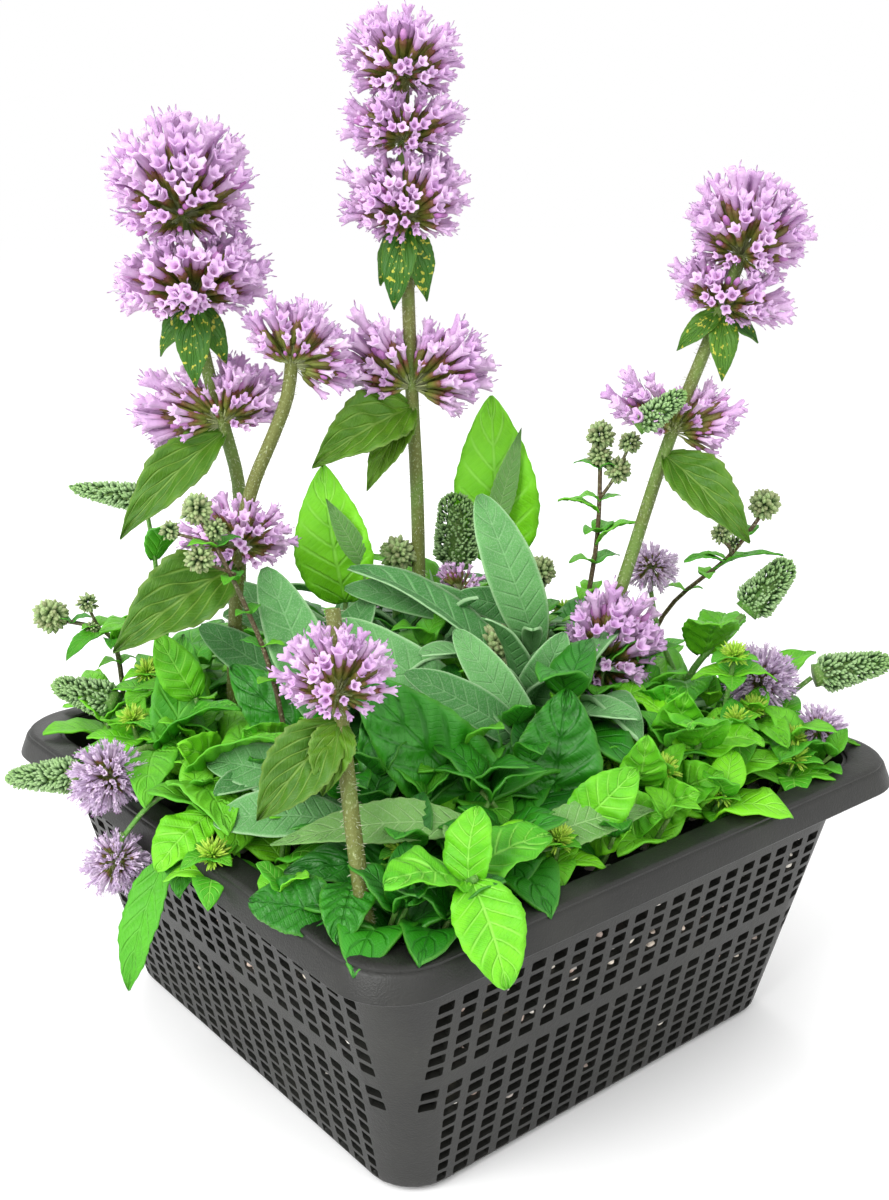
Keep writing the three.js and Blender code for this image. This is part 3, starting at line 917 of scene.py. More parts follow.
def centre_line(node: str, ring: int = 6) -> list[Vector]:
    """The centre line of a CAD stem, from its foot up.

    Args:
        node: The stem.
        ring: How many corners each of its rings has.

    Returns:
        The line's points.
    """
    points = sorted(cad_points(node), key=lambda p: p.z)
    rings = [points[i:i + ring] for i in range(0, len(points) - ring + 1, ring)]
    return [sum(r, Vector()) / len(r) for r in rings]


# ---- leaves
class Outline(Enum):
    """The outline of a leaf: where it is widest and how blunt its ends are."""

    OVATE = (0.72, 0.74)
    BROAD = (0.7, 0.66)
    NARROW = (0.98, 0.5)
    LANCE = (0.78, 1.0)
    ROUND = (0.8, 0.6)


@dataclass(frozen=True)
class LeafForm:
    """How a kind of leaf is shaped and finished."""

    outline: Outline
    skin: LeafFinish
    teeth: int = 9
    tooth: float = 0.06
    veins: int = 6
    quilt: float = 0.035
    wave: float = 0.05
    fold: float = 0.25
    thick: float = 0.35


MINT = LeafForm(Outline.OVATE, MINT_SKIN, 8, 0.07, 6, 0.04, 0.05, 0.22)
BRIGHT = LeafForm(Outline.OVATE, BRIGHT_SKIN, 11, 0.05, 7, 0.03, 0.04, 0.2)
ROUNDED = LeafForm(Outline.ROUND, BRIGHT_SKIN, 8, 0.05, 5, 0.045, 0.06, 0.16)
OLIVE = LeafForm(Outline.LANCE, OLIVE_SKIN, 9, 0.09, 5, 0.05, 0.06, 0.5)
SAGE = LeafForm(Outline.NARROW, SAGE_SKIN, 26, 0.02, 9, 0.02, 0.03, 0.3, 0.5)
BROAD = LeafForm(Outline.BROAD, BROAD_SKIN, 12, 0.05, 6, 0.07, 0.05, 0.2)
PALE = LeafForm(Outline.LANCE, PALE_SKIN, 15, 0.1, 11, 0.03, 0.04, 0.18)
RIM = LeafForm(Outline.OVATE, RIM_SKIN, 9, 0.1, 6, 0.05, 0.06, 0.3)
HANGING = LeafForm(Outline.LANCE, HANGING_SKIN, 10, 0.05, 4, 0.03, 0.05, 0.3)


@dataclass
class Leaf:
    """One leaf that grows from the origin along Y and faces Z."""

    form: LeafForm
    length: float
    width: float
    bow: float = 0.14
    curl: float = 0.1
    rows: int = 26
    columns: int = 8
    seed: int = 0

    def point(self, across: float, along: float) -> Vector:
        """Where a point of the flat leaf goes.

        Args:
            across: From -1 at one edge to 1 at the other.
            along: From 0 at the base to 1 at the tip.

        Returns:
            The point.
        """
        form = self.form
        peak, blunt = form.outline.value
        stretch = 0.02 + along * 0.975
        half = self.width / 2 * math.sin(math.pi * stretch**peak) ** blunt
        half = max(half, 0.55 if along < 0.5 else 0.05)
        away = abs(across)
        saw = (along * form.teeth) % 1.0 - 0.5
        half *= 1.0 + form.tooth * saw * max(0.0, away * 3 - 2)
        x = across * half
        wing = abs(x)
        arch = 2 * self.bow * self.length * along * (1 - along)
        drop = self.curl * self.length * along**3
        ridge = math.cos(2 * math.pi * (along * form.veins - away * form.veins * 0.22))
        quilt = form.quilt * self.width * ridge * (1 - away**4) * min(1.0, away * 5)
        sway = math.sin(along * 9 + self.seed * 2.3) * math.copysign(1, across)
        ripple = form.wave * self.width * away * away * (sway + math.sin(along * 17 + self.seed))
        z = arch - drop + wing * math.tan(form.fold) + quilt + ripple * 0.6
        return Vector((x * math.cos(form.fold * 0.5), along * self.length, z))

    def template(self) -> Template:
        """Makes the leaf.

        Returns:
            The template.
        """
        bm = fresh()
        chart = bm.loops.layers.uv["leaf"]
        bmesh.ops.create_grid(bm, x_segments=self.columns, y_segments=self.rows, size=1.0)
        for face in bm.faces:
            for loop in face.loops:
                co = loop.vert.co
                loop[chart].uv = ((co.x + 1) / 2, (co.y + 1) / 2)
        for vert in bm.verts:
            vert.co = self.point(vert.co.x, (vert.co.y + 1) / 2)
        bmesh.ops.solidify(bm, geom=bm.faces[:], thickness=self.form.thick)
        bmesh.ops.recalc_face_normals(bm, faces=bm.faces[:])
        return Template.of(bm, [self.form.skin])


class LeafStock:
    """Ready-made small leaves of each form, in several sizes of curl."""

    def __init__(self, variants: int = 5) -> None:
        """Remembers how many variants to make.

        Args:
            variants: How many of each form.
        """
        self.variants = variants
        self.made: dict[LeafForm, list[Template]] = {}

    def pick(self, form: LeafForm, dice: random.Random) -> Template:
        """A leaf 10 mm long of a form.

        Args:
            form: The form.
            dice: The source of chance.

        Returns:
            One of the variants.
        """
        if form not in self.made:
            wide = {Outline.NARROW: 3.4, Outline.LANCE: 3.8, Outline.ROUND: 7.8}
            plain = replace(form, teeth=0, tooth=0.0, quilt=0.0)
            self.made[form] = [
                Leaf(
                    plain, 10.0, wide.get(form.outline, 7.0) * (0.92 + 0.05 * k),
                    0.12 + 0.05 * k, 0.02 + 0.06 * k, 11, 4, k,
                ).template()
                for k in range(self.variants)
            ]
        return dice.choice(self.made[form])


# ---- flowers
@dataclass(frozen=True)
class Floret:
    """One floret of length 1 along Y: stalk, calyx, flared lip and stamens."""

    lip: Finish
    is_open: bool = True
    wide: float = 0.125
    calyx: float = 0.054
    calyx_top: float = 0.64
    stamens: int = 1
    lean: float = 0.0

    def template(self) -> Template:
        """Makes the floret.

        Returns:
            The template.
        """
        bm = fresh()
        self._rings(bm, 4, [(0.02, 0.01, 0), (0.42, 0.013, 0)], 0)
        top = self.calyx_top
        teeth = [
            (0.33, 0.012, 0), (0.4, 0.8 * self.calyx, 0), (top - 0.08, self.calyx, 0),
            (top + 0.02, 0.8 * self.calyx, 0.03), (top - 0.06, 0.5 * self.calyx, 0),
        ]
        self._rings(bm, 6, teeth, 1, every=2)
        if self.is_open:
            wide = self.wide
            lip = [
                (top - 0.1, 0.024, 0), (top + 0.06, 0.045, 0), (0.86, 0.55 * wide, 0.01),
                (0.93, 0.8 * wide, 0.03), (0.985, wide, 0.06), (1.0, 0.92 * wide, 0.06),
                (0.93, 0.5 * wide, 0.03), (0.84, 0.28 * wide, 0),
            ]
            self._rings(bm, 12, lip, 2, every=3)
        else:
            bud = [(top - 0.08, 0.03, 0), (top + 0.06, 0.048, 0), (top + 0.14, 0.03, 0)]
            self._rings(bm, 6, bud, 2)
        for index in range(self.stamens):
            self._stamen(bm, index)
        settle(bm)
        return Template.of(bm, [PEDICEL, CALYX, self.lip, STAMEN])

    def _rings(
        self, bm: bmesh.types.BMesh, sides: int, rings: Sequence[tuple], part: int, every: int = 0
    ) -> None:
        """Draws one part of the floret.

        Args:
            bm: Where it is made.
            sides: Points in a ring.
            rings: Height, radius and depth of the notches of each ring.
            part: Its material index.
            every: A notch comes at each point of this number; 0 for none.
        """
        heights = [r[0] for r in rings]
        low, high = heights[0], max(heights)
        crest = heights.index(high)

        def place(ring: int, index: int) -> tuple[Vector, float]:
            """A point of the ring, drawn in and down at a notch."""
            height, radius, notch = rings[ring]
            # Rings past the crest turn back into the mouth; their lowered reach gives the inside of the
            # mouth the darker base colour: painted shade in the throat.
            reach = (height - low) / (high - low) * (0.45 if ring > crest + 1 else 1.0)
            if every and notch and index % every == 0:
                radius *= 0.74
                height -= notch
            if every == 3 and index in (4, 5):
                radius *= 1.0 + 3.0 * notch
            turn = 2 * math.pi * index / sides
            x, z = radius * math.cos(turn), radius * math.sin(turn)
            return Vector((x + self.lean * height**3, height, z)), reach

        sleeve(bm, sides, len(rings), place, part)

    def _stamen(self, bm: bmesh.types.BMesh, index: int) -> None:
        """Adds one thread with a dark end.

        Args:
            bm: Where it is made.
            index: Its number.
        """
        turn = 2.1 * index + 0.4
        side = Vector((math.cos(turn), 0.0, math.sin(turn)))

        def place(ring: int, point: int) -> tuple[Vector, float]:
            """A point of the thread or of its end."""
            height = (0.82, 1.0, 1.03, 1.07)[ring]
            radius = (0.006, 0.005, 0.014, 0.004)[ring]
            around = 2 * math.pi * point / 3
            spread = side * (0.02 + 0.05 * ring / 3)
            turned = Vector((math.cos(around), 0.0, math.sin(around))) * radius
            return spread + turned + Vector((0.0, height, 0.0)), ring / 3

        sleeve(bm, 3, 4, place, 3)


@dataclass(frozen=True)
class Bud:
    """A small pointed bud of length 1 along Y."""

    finish: Finish
    fat: float = 0.26

    def template(self) -> Template:
        """Makes the bud.

        Returns:
            The template.
        """
        rings = [(0.0, 0.4), (0.35, 1.0), (0.75, 0.85), (1.0, 0.25)]

        def place(ring: int, index: int) -> tuple[Vector, float]:
            """A point of the bud."""
            height, share = rings[ring]
            turn = 2 * math.pi * index / 5
            radius = self.fat * share
            point = Vector((radius * math.cos(turn), height, radius * math.sin(turn)))
            return point, height

        bm = fresh()
        sleeve(bm, 5, len(rings), place)
        settle(bm)
        return Template.of(bm, [self.finish])


@dataclass
class HeadStock:
    """The florets and buds that all heads share."""

    lilac: list[Template] = field(default_factory=list)
    mauve: list[Template] = field(default_factory=list)
    green: Optional[Template] = None
    tuft: Optional[Template] = None
    sprig: Optional[Template] = None
    hair: Optional[Template] = None

    def __post_init__(self) -> None:
        """Makes the templates once."""
        self.lilac = [
            Floret(LILAC, wide=0.098, calyx_top=0.7).template(),
            Floret(LILAC, wide=0.108, calyx_top=0.67, lean=0.09, stamens=2).template(),
            Floret(LILAC, wide=0.09, calyx_top=0.72, lean=-0.08).template(),
            Floret(LILAC, wide=0.102, calyx_top=0.66, lean=0.04, stamens=0).template(),
            Floret(DEEP_LILAC, is_open=False, calyx_top=0.7, stamens=0).template(),
        ]
        self.mauve = [
            Floret(MAUVE, wide=0.075, calyx=0.04, calyx_top=0.6, stamens=2).template(),
            Floret(MAUVE, wide=0.065, calyx=0.035, calyx_top=0.56, stamens=3, lean=0.1).template(),
            Floret(MAUVE, is_open=False, calyx=0.045, stamens=0).template(),
        ]
        self.green = Bud(SPIKE_BUD, 0.22).template()
        self.tuft = Bud(TUFT_BUD, 0.075).template()
        self.sprig = Bud(SPRIG_BUD, 0.26).template()
        self.hair = Bud(HAIR, 0.05).template()


def spread(triangles: Sequence[tuple], gap: float, dice: random.Random, tries: int = 2500
           ) -> list[Vector]:
    """Points spread over triangles with a least distance between them.

    Args:
        triangles: Three corners each.
        gap: The least distance.
        dice: The source of chance.
        tries: How many points are tried.

    Returns:
        The points.
    """
    areas = [(b - a).cross(c - a).length / 2 for a, b, c in triangles]
    cells: dict[tuple, list[Vector]] = {}
    kept = []
    for a, b, c in dice.choices(triangles, areas, k=tries):
        u, v = dice.random(), dice.random()
        if u + v > 1:
            u, v = 1 - u, 1 - v
        point = a + (b - a) * u + (c - a) * v
        key = tuple(int(x // gap) for x in point)
        near = (
            cells.get((key[0] + i, key[1] + j, key[2] + k), ())
            for i in (-1, 0, 1) for j in (-1, 0, 1) for k in (-1, 0, 1)
        )
        if all((point - other).length >= gap for group in near for other in group):
            cells.setdefault(key, []).append(point)
            kept.append(point)
    return kept


@dataclass
class Whorl:
    """A head of lilac florets round a stem."""

    node: str
    stem: str
    hanging: Sequence[tuple] = ()
    gap: float = 3.35
    heart: float = 0.27
    clear: float = 0.42
    open_share: float = 0.84
    least_length: float = 9.0

    def build(self, stock: HeadStock, line: list[Vector], seed: int) -> bpy.types.Object:
        """Builds the head.

        Args:
            stock: The florets.
            line: The stem's centre line.
            seed: The seed of chance.

        Returns:
            The piece.
        """
        dice = random.Random(seed)
        triangles = cad_faces(self.node)
        low, high = (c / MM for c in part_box(self.node))
        core = at_height(line, low.z + self.heart * (high.z - low.z))
        far = max((a - core).length for a, _, _ in triangles)
        piece = Builder()
        for point in spread(triangles, self.gap, dice):
            out = point - core
            length = out.length * dice.uniform(0.82, 1.08)
            if length < self.clear * far:
                continue
            choice = dice.choice(stock.lilac[:4]) if dice.random() < self.open_share else stock.lilac[4]
            wobble = any_way(dice) * 0.1
            side = any_way(dice)
            frame_of = aimed(core, out.normalized() + wobble, side, max(length, self.least_length))
            piece.put(choice, frame_of, dice.random())
        for mark in self.hanging:
            base = core + Vector((0.0, 0.0, -1.0))
            reach = Vector(mark)
            face = Vector((reach.x, reach.y, 0.0)).normalized() * 0.4 + Vector(VIEWER)
            leaf = Leaf(HANGING, reach.length, 0.42 * reach.length, 0.1, 0.0, 24, 6, seed)
            piece.put(leaf.template(), aimed(base, reach, face), dice.uniform(0.2, 0.7))
        return piece.finish(f"{self.node}_florets", "lilac_florets", (self.node,))


class HeadKind(Enum):
    """The small flower heads: a mauve ball or a green spike."""

    BALL = "mauve_florets"
    SPIKE = "green_spike"


@dataclass
class SmallHead:
    """A small head at the end of a shoot."""

    node: str
    kind: HeadKind
    start: tuple
    towards: tuple
    radius: float
    tall: float
    taper: float = 0.0
    heart: float = 0.36
    gap: float = 1.55
    bud_rate: float = 4.2

    def build(self, stock: HeadStock, places: Places, seed: int) -> bpy.types.Object:
        """Builds the head.

        Args:
            stock: The florets and buds.
            places: The plant's marks.
            seed: The seed of chance.

        Returns:
            The piece.
        """
        dice = random.Random(seed)
        base = places.spot(*self.start)
        axis = (places.spot(*self.towards) - base).normalized()
        piece = Builder()
        if self.kind is HeadKind.BALL:
            self._ball(piece, stock, base, axis, dice)
        else:
            self._spike(piece, stock, base, axis, dice)
        return piece.finish(f"{self.node}_florets", self.kind.value, real(self.node))

    def _ball(self, piece: Builder, stock: HeadStock, base: Vector, axis: Vector,
              dice: random.Random) -> None:
        """Fills a ball with thin florets.

        Args:
            piece: Where they go.
            stock: The florets.
            base: The ball's foot.
            axis: Its direction.
            dice: The source of chance.
        """
        heart = base + axis * self.tall * self.heart
        triangles = cad_faces(self.node)
        for point in spread(triangles, self.gap, dice, 3500):
            out = point - heart
            if out.length < 2.0:
                continue
            choice = dice.choice(stock.mauve[:2]) if dice.random() < 0.85 else stock.mauve[2]
            side = any_way(dice)
            length = out.length * dice.uniform(0.82, 1.14)
            aim = out.normalized() + side * 0.12
            piece.put(choice, aimed(heart, aim, side, length), dice.random())
        piece.put(stalk([base - axis * 2, heart], 0.9, 0.7, GREEN_STALK), IN_PLACE)

    def _spike(self, piece: Builder, stock: HeadStock, base: Vector, axis: Vector,
               dice: random.Random) -> None:
        """Sets buds in a spiral up a cone.

        Args:
            piece: Where they go.
            stock: The buds.
            base: The cone's foot.
            axis: Its direction.
            dice: The source of chance.
        """
        x = axis.orthogonal().normalized()
        y = axis.cross(x)
        count = int(self.tall * self.radius * self.bud_rate)
        core = [base + axis * self.tall * k / 6 for k in range(6)]
        heart = stalk(core, self.radius * 0.62, self.radius * 0.3, GREEN_STALK)
        piece.put(heart, IN_PLACE)
        for index in range(count):
            share = (index + dice.uniform(-1.5, 2.5)) / count
            share = max(0.0, min(1.0, share))
            turn = index * GOLDEN_TURN + dice.gauss(0, 0.25)
            round_end = min(1.0, math.sqrt(max(0.0, 1 - (2 * share - 1) ** 4)) + 0.12)
            radius = self.radius * (1 - self.taper * share) * round_end
            out = x * math.cos(turn) + y * math.sin(turn)
            wobble = any_way(dice) * 0.16
            aim = (out + axis * (0.35 + 1.7 * share**3)).normalized() + wobble
            length = dice.uniform(1.7, 3.1) * (1 - 0.3 * share)
            spot = base + axis * self.tall * (0.03 + 0.92 * share) + out * (radius - length * 0.8)
            tint = min(1.0, 0.5 * dice.random() + 0.6 * share**3)
            piece.put(stock.green, aimed(spot, aim, axis, length), tint)


# ---- tall stems
@dataclass
class TallStem:
    """A tall flower stem, square and downy, with one folded leaf."""

    name: str
    leaf_tip: tuple
    leaf_width: float
    small_tip: tuple = ()
    radius: float = 1.9
    hairs: int = 520

    def build(self, stock: HeadStock, places: Places, seed: int) -> list[Vector]:
        """Builds the stem and its leaf.

        Args:
            stock: The templates for its down.
            places: The plant's marks.
            seed: The seed of chance.

        Returns:
            The stem's centre line.
        """
        dice = random.Random(seed)
        rough = centre_line(f"stem_{self.name}")
        line = smooth_path(rough, 34)
        piece = Builder()
        piece.put(stalk(line, self.radius, self.radius * 0.85, TALL_STALK, 12, 0.1),
                  IN_PLACE, dice.random())
        for _ in range(self.hairs):
            share = dice.random()
            spot = share_of(line, share)
            along = (share_of(line, min(1, share + 0.02)) - share_of(line, max(0, share - 0.02)))
            x = along.orthogonal().normalized()
            turn = dice.uniform(0, 2 * math.pi)
            out = (x * math.cos(turn) + along.normalized().cross(x) * math.sin(turn)).normalized()
            aim = out + along.normalized() * dice.uniform(-0.7, 0.2)
            start = spot + out * self.radius * 0.85
            piece.put(stock.hair, aimed(start, aim, UP, dice.uniform(0.8, 1.5)), dice.random())
        piece.finish(f"stem_{self.name}_skin", "stem_green", (f"stem_{self.name}",))
        base = root_of(line, f"leaf_{self.name}")
        blade = Builder()
        face = Vector((-0.6, -0.7, 0.5))
        for tip, width in ((self.leaf_tip, self.leaf_width), (self.small_tip, 11.0)):
            if tip:
                reach = places.spot(*tip) - base
                leaf = Leaf(OLIVE, reach.length, width, 0.2, 0.0, 44, 12, seed)
                blade.put(leaf.template(), aimed(base, reach, face), dice.uniform(0.3, 0.8))
        blade.finish(f"leaf_{self.name}_blade", "olive_leaf", (f"leaf_{self.name}",))
        return line


# ---- leafy shoots
@dataclass
class Blade:
    """One leaf of a shoot: where it leaves the stalk, where its tip is, and its width."""

    share: float
    tip: tuple
    width: float
    face: tuple = (0.0, 0.0, 1.0)


@dataclass
class Shoot:
    """A shoot that stands for one CAD node: stalks and leaves."""

    node: str
    slot: str
    form: LeafForm
    path: Sequence[tuple]
    blades: Sequence[Blade]
    branches: Sequence[Sequence[tuple]] = ()
    buds: Sequence[tuple] = ()
    radius: float = 1.2
    stalk_finish: StalkFinish = GREEN_STALK
    pairs: tuple = ()

    def build(self, stock: HeadStock, leaves: LeafStock, places: Places, seed: int
              ) -> bpy.types.Object:
        """Builds the shoot.

        Args:
            stock: The templates for buds.
            leaves: The small leaves.
            places: The plant's marks.
            seed: The seed of chance.

        Returns:
            The piece.
        """
        dice = random.Random(seed)
        piece = Builder()
        line = places.path(self.path)
        piece.put(stalk(line, self.radius, self.radius * 0.75, self.stalk_finish, 8, 0.08),
                  IN_PLACE, dice.random())
        for marks in self.branches:
            side = places.path(marks)
            piece.put(stalk(side, self.radius * 0.75, self.radius * 0.6, self.stalk_finish),
                      IN_PLACE, dice.random())
        for blade in self.blades:
            base = share_of(line, blade.share)
            reach = places.spot(*blade.tip) - base
            shape = Leaf(
                self.form, reach.length, blade.width * 1.04,
                dice.uniform(0.2, 0.32), 0.0, 28, 10, dice.randrange(50),
            )
            face = Vector(blade.face) + Vector((dice.gauss(0, 1), dice.gauss(0, 1), 0)) * 0.12
            piece.put(shape.template(), aimed(base, reach, face), dice.random())
        if self.pairs:
            low, high, count, size = self.pairs
            for index in range(count):
                spot = share_of(line, low + (high - low) * index / max(1, count - 1))
                turn = dice.uniform(0, math.pi)
                for half in (0.0, math.pi):
                    aim = Vector((math.cos(turn + half), math.sin(turn + half), 0.3))
                    grown = aimed(spot, aim, UP, size * dice.uniform(0.08, 0.12))
                    piece.put(leaves.pick(self.form, dice), grown, dice.random())
        for x, y, z, radius in self.buds:
            self._cluster(piece, stock, places.spot(x, y, z), radius, dice)
        return piece.finish(f"{self.node}_leaves", self.slot, real(self.node))

    @staticmethod
    def _cluster(piece: Builder, stock: HeadStock, centre: Vector, radius: float,
                 dice: random.Random) -> None:
        """A knob of small buds.

        Args:
            piece: Where it goes.
            stock: The bud.
            centre: The knob's middle.
            radius: Its radius.
            dice: The source of chance.
        """
        count = int(5.0 * radius * radius) + 14
        for index in range(count):
            z = 1 - 2 * (index + 0.5) / count
            flat = math.sqrt(1 - z * z)
            turn = index * GOLDEN_TURN
            out = Vector((flat * math.cos(turn), flat * math.sin(turn), z))
            out += any_way(dice) * 0.14
            length = radius * dice.uniform(0.5, 0.85)
            start = centre + out * (radius * dice.uniform(0.95, 1.1) - length)
            piece.put(stock.sprig, aimed(start, out, UP, length), dice.random())


@dataclass
class Spray:
    """More leaves of one kind, each with a base, a tip, a width and a side that it faces."""

    name: str
    slot: str
    form: LeafForm
    leaves: Sequence[tuple]
    bow: float = 0.22

    def build(self, places: Places, seed: int) -> bpy.types.Object:
        """Builds the leaves.

        Args:
            places: The plant's marks.
            seed: The seed of chance.

        Returns:
            The piece.
        """
        dice = random.Random(seed)
        piece = Builder()
        for base, tip, width, face in self.leaves:
            start = places.spot(*base)
            reach = places.spot(*tip) - start
            shape = Leaf(
                self.form, reach.length, width, self.bow * dice.uniform(0.7, 1.3), 0.0,
                30, 10, dice.randrange(50),
            )
            piece.put(shape.template(), aimed(start, reach, Vector(face)), dice.random())
            foot = Vector((start.x * 0.93, start.y * 0.93, places.depth + 1.0))
            line = smooth_path([foot, foot.lerp(start, 0.6) + UP * 2, start], 7)
            thin_stalk(piece, line, dice)
        return piece.finish(self.name, self.slot)


@dataclass
class Undergrowth:
    """The leafy shoots that fill the basket between the named ones."""

    pitch: float = 14.5
    reach: float = 80.0
    middle: float = 32.0
    edge: float = 3.0
    sage_half: float = 32.0
    tuft_share: float = 0.12

    def build(self, stock: HeadStock, leaves: LeafStock, places: Places, seed: int) -> None:
        """Builds the shoots in pieces by kind of leaf.

        Args:
            stock: The tufts.
            leaves: The small leaves.
            places: The plant's marks.
            seed: The seed of chance.
        """
        dice = random.Random(seed)
        slots = {
            "mint_left": "mint_leaf", "mint_right": "mint_leaf",
            "sage": "grey_green_leaf", "dark": "dark_leaf",
        }
        pieces = {name: Builder() for name in slots}
        steps = int(self.reach // self.pitch)
        for i in range(-steps, steps + 1):
            for j in range(-steps, steps + 1):
                x = (i + dice.uniform(-0.38, 0.38)) * self.pitch
                y = (j + dice.uniform(-0.38, 0.38)) * self.pitch
                x = max(-self.reach, min(self.reach, x))
                y = max(-self.reach, min(self.reach, y))
                self._shoot(pieces, stock, leaves, places, x, y, dice)
        for name, slot in slots.items():
            pieces[name].finish(f"undergrowth_{name}", slot)

    def height(self, x: float, y: float) -> float:
        """How far the leaves stand above the rim at a place.

        Args:
            x: Across the basket.
            y: Along the basket.

        Returns:
            The height.
        """
        out = max(abs(x), abs(y)) / self.reach
        tall = self.edge + (self.middle - self.edge) * (1 - out**2.2)
        tall *= 1 - 0.5 * max(0.0, (RIGHT_X * x + RIGHT_Y * y) / self.reach - 0.35)
        corner = max(0.0, (-x - y) / (2 * self.reach) - 0.3) / 0.7
        return tall * (1 - 0.85 * corner)

    def _shoot(
        self,
        pieces: dict[str, Builder],
        stock: HeadStock,
        leaves: LeafStock,
        places: Places,
        x: float,
        y: float,
        dice: random.Random,
    ) -> None:
        """Grows one shoot.

        Args:
            pieces: The builders by kind.
            stock: The tufts.
            leaves: The small leaves.
            places: The plant's marks.
            x: Where it stands.
            y: Where it stands.
            dice: The source of chance.
        """
        across = RIGHT_X * x + RIGHT_Y * y
        depth = AWAY_X * x + AWAY_Y * y
        kind, form, length = "mint_left", MINT, dice.uniform(18, 26)
        if across > 0:
            kind = "mint_right"
        if abs(across + 6 * math.sin(depth * 0.1)) < self.sage_half:
            if depth > -46 and dice.random() < 0.45:
                kind, form, length = "sage", SAGE, dice.uniform(30, 42)
            elif dice.random() < 0.8:
                kind, form, length = "dark", BROAD, dice.uniform(22, 32)
        elif dice.random() < 0.4:
            form = ROUNDED if depth < 0 else BRIGHT
        top = self.height(x, y) * dice.uniform(0.6, 1.1)
        base = Vector((x, y, places.depth + 2.0))
        lean = Vector((x, y, 0.0)) / self.reach * 6.0
        tip = Vector((x + dice.gauss(0, 4), y + dice.gauss(0, 4), places.rim + top)) + lean
        middle = base.lerp(tip, 0.5) + Vector((dice.gauss(0, 2), dice.gauss(0, 2), 0))
        line = smooth_path([base, middle, tip], 7)
        piece = pieces[kind]
        thin_stalk(piece, line, dice, 0.6)
        step = 8.5 if kind.startswith("mint") else 11.0
        nodes = max(2, int((tip - base).length / step))
        twist = dice.uniform(0, math.pi)
        for node in range(nodes):
            spot = share_of(line, 1.0 - node * 0.88 / nodes)
            if spot.z < places.rim - 9:
                break
            size = length * (0.55 + 0.45 * min(1.0, node / 1.5)) * dice.uniform(0.85, 1.1)
            lift = 1.0 if node == 0 else dice.uniform(0.05, 0.6)
            for half in (0.0, math.pi):
                turn = twist + node * math.pi / 2 + half + dice.uniform(-0.25, 0.25)
                aim = Vector((math.cos(turn), math.sin(turn), lift))
                end = spot + aim.normalized() * size
                over = max(abs(end.x), abs(end.y)) - places.half + 8
                if over > 12 or (over > -4 and end.z < places.rim + 2):
                    continue
                leaf = leaves.pick(form, dice)
                face = UP * 1.2 - Vector((math.cos(turn), math.sin(turn), 0)) * 0.3
                piece.put(leaf, aimed(spot, aim, face, size / 10.0), dice.random())
        if kind.startswith("mint") and dice.random() < self.tuft_share:
            self.tuft(piece, stock, tip, dice)

    @staticmethod
    def tuft(piece: Builder, stock: HeadStock, tip: Vector, dice: random.Random) -> None:
        """A yellow-green tuft of young buds at a tip.

        Args:
            piece: Where it goes.
            stock: The bud.
            tip: The shoot's tip.
            dice: The source of chance.
        """
        for index in range(TUFT_BUDS):
            turn = index * GOLDEN_TURN
            lift = math.tan(dice.uniform(-0.5, 1.35))
            aim = Vector((math.cos(turn), math.sin(turn), lift)).normalized()
            grown = aimed(tip + UP * 1.5, aim, UP, dice.uniform(3.4, 5.2))
            piece.put(stock.tuft, grown, dice.random())


@dataclass
class Accents:
    """Young yellow-green tips and a few loose florets between the leaves."""

    tufts: Sequence[tuple]
    posies: Sequence[tuple]
    reach: float = 80.0
    posy_florets: int = 44

    def build(self, stock: HeadStock, leaves: LeafStock, places: Places, seed: int) -> None:
        """Builds the tips and the florets.

        Args:
            stock: The buds and florets.
            leaves: The small leaves.
            places: The plant's marks.
            seed: The seed of chance.
        """
        dice = random.Random(seed)
        tips = Builder()
        for mark in self.tufts:
            top = places.spot(*mark)
            foot = Vector((top.x * 0.94, top.y * 0.94, places.depth + 1.0))
            foot.x = max(-self.reach, min(self.reach, foot.x))
            foot.y = max(-self.reach, min(self.reach, foot.y))
            line = smooth_path([foot, foot.lerp(top, 0.6), top], 7)
            thin_stalk(tips, line, dice)
            Undergrowth.tuft(tips, stock, top, dice)
            for level, size in enumerate((9.0, 14.0)):
                for step in range(4):
                    turn = step * math.pi / 2 + level * 0.8 + dice.uniform(-0.2, 0.2)
                    aim = Vector((math.cos(turn), math.sin(turn), 0.35 - 0.3 * level))
                    spot = top - UP * 4.5 * level
                    grown = aimed(spot, aim, UP, size * dice.uniform(0.08, 0.11))
                    tips.put(leaves.pick(BRIGHT, dice), grown, dice.random())
        tips.finish("young_tips", "mint_leaf")
        loose = Builder()
        for x, y, z, size in self.posies:
            heart = places.spot(x, y, z)
            foot = Vector((heart.x, heart.y, places.depth + 1.0))
            line = [foot, foot.lerp(heart, 0.5), heart]
            thin_stalk(loose, line, dice)
            for _ in range(self.posy_florets):
                aim = Vector((dice.gauss(0, 1), dice.gauss(0, 1), dice.gauss(0.6, 0.8)))
                side = any_way(dice)
                grown = aimed(heart, aim, side, size * dice.uniform(0.8, 1.1))
                loose.put(dice.choice(stock.lilac), grown, dice.random())
        loose.finish("loose_florets", "lilac_florets")


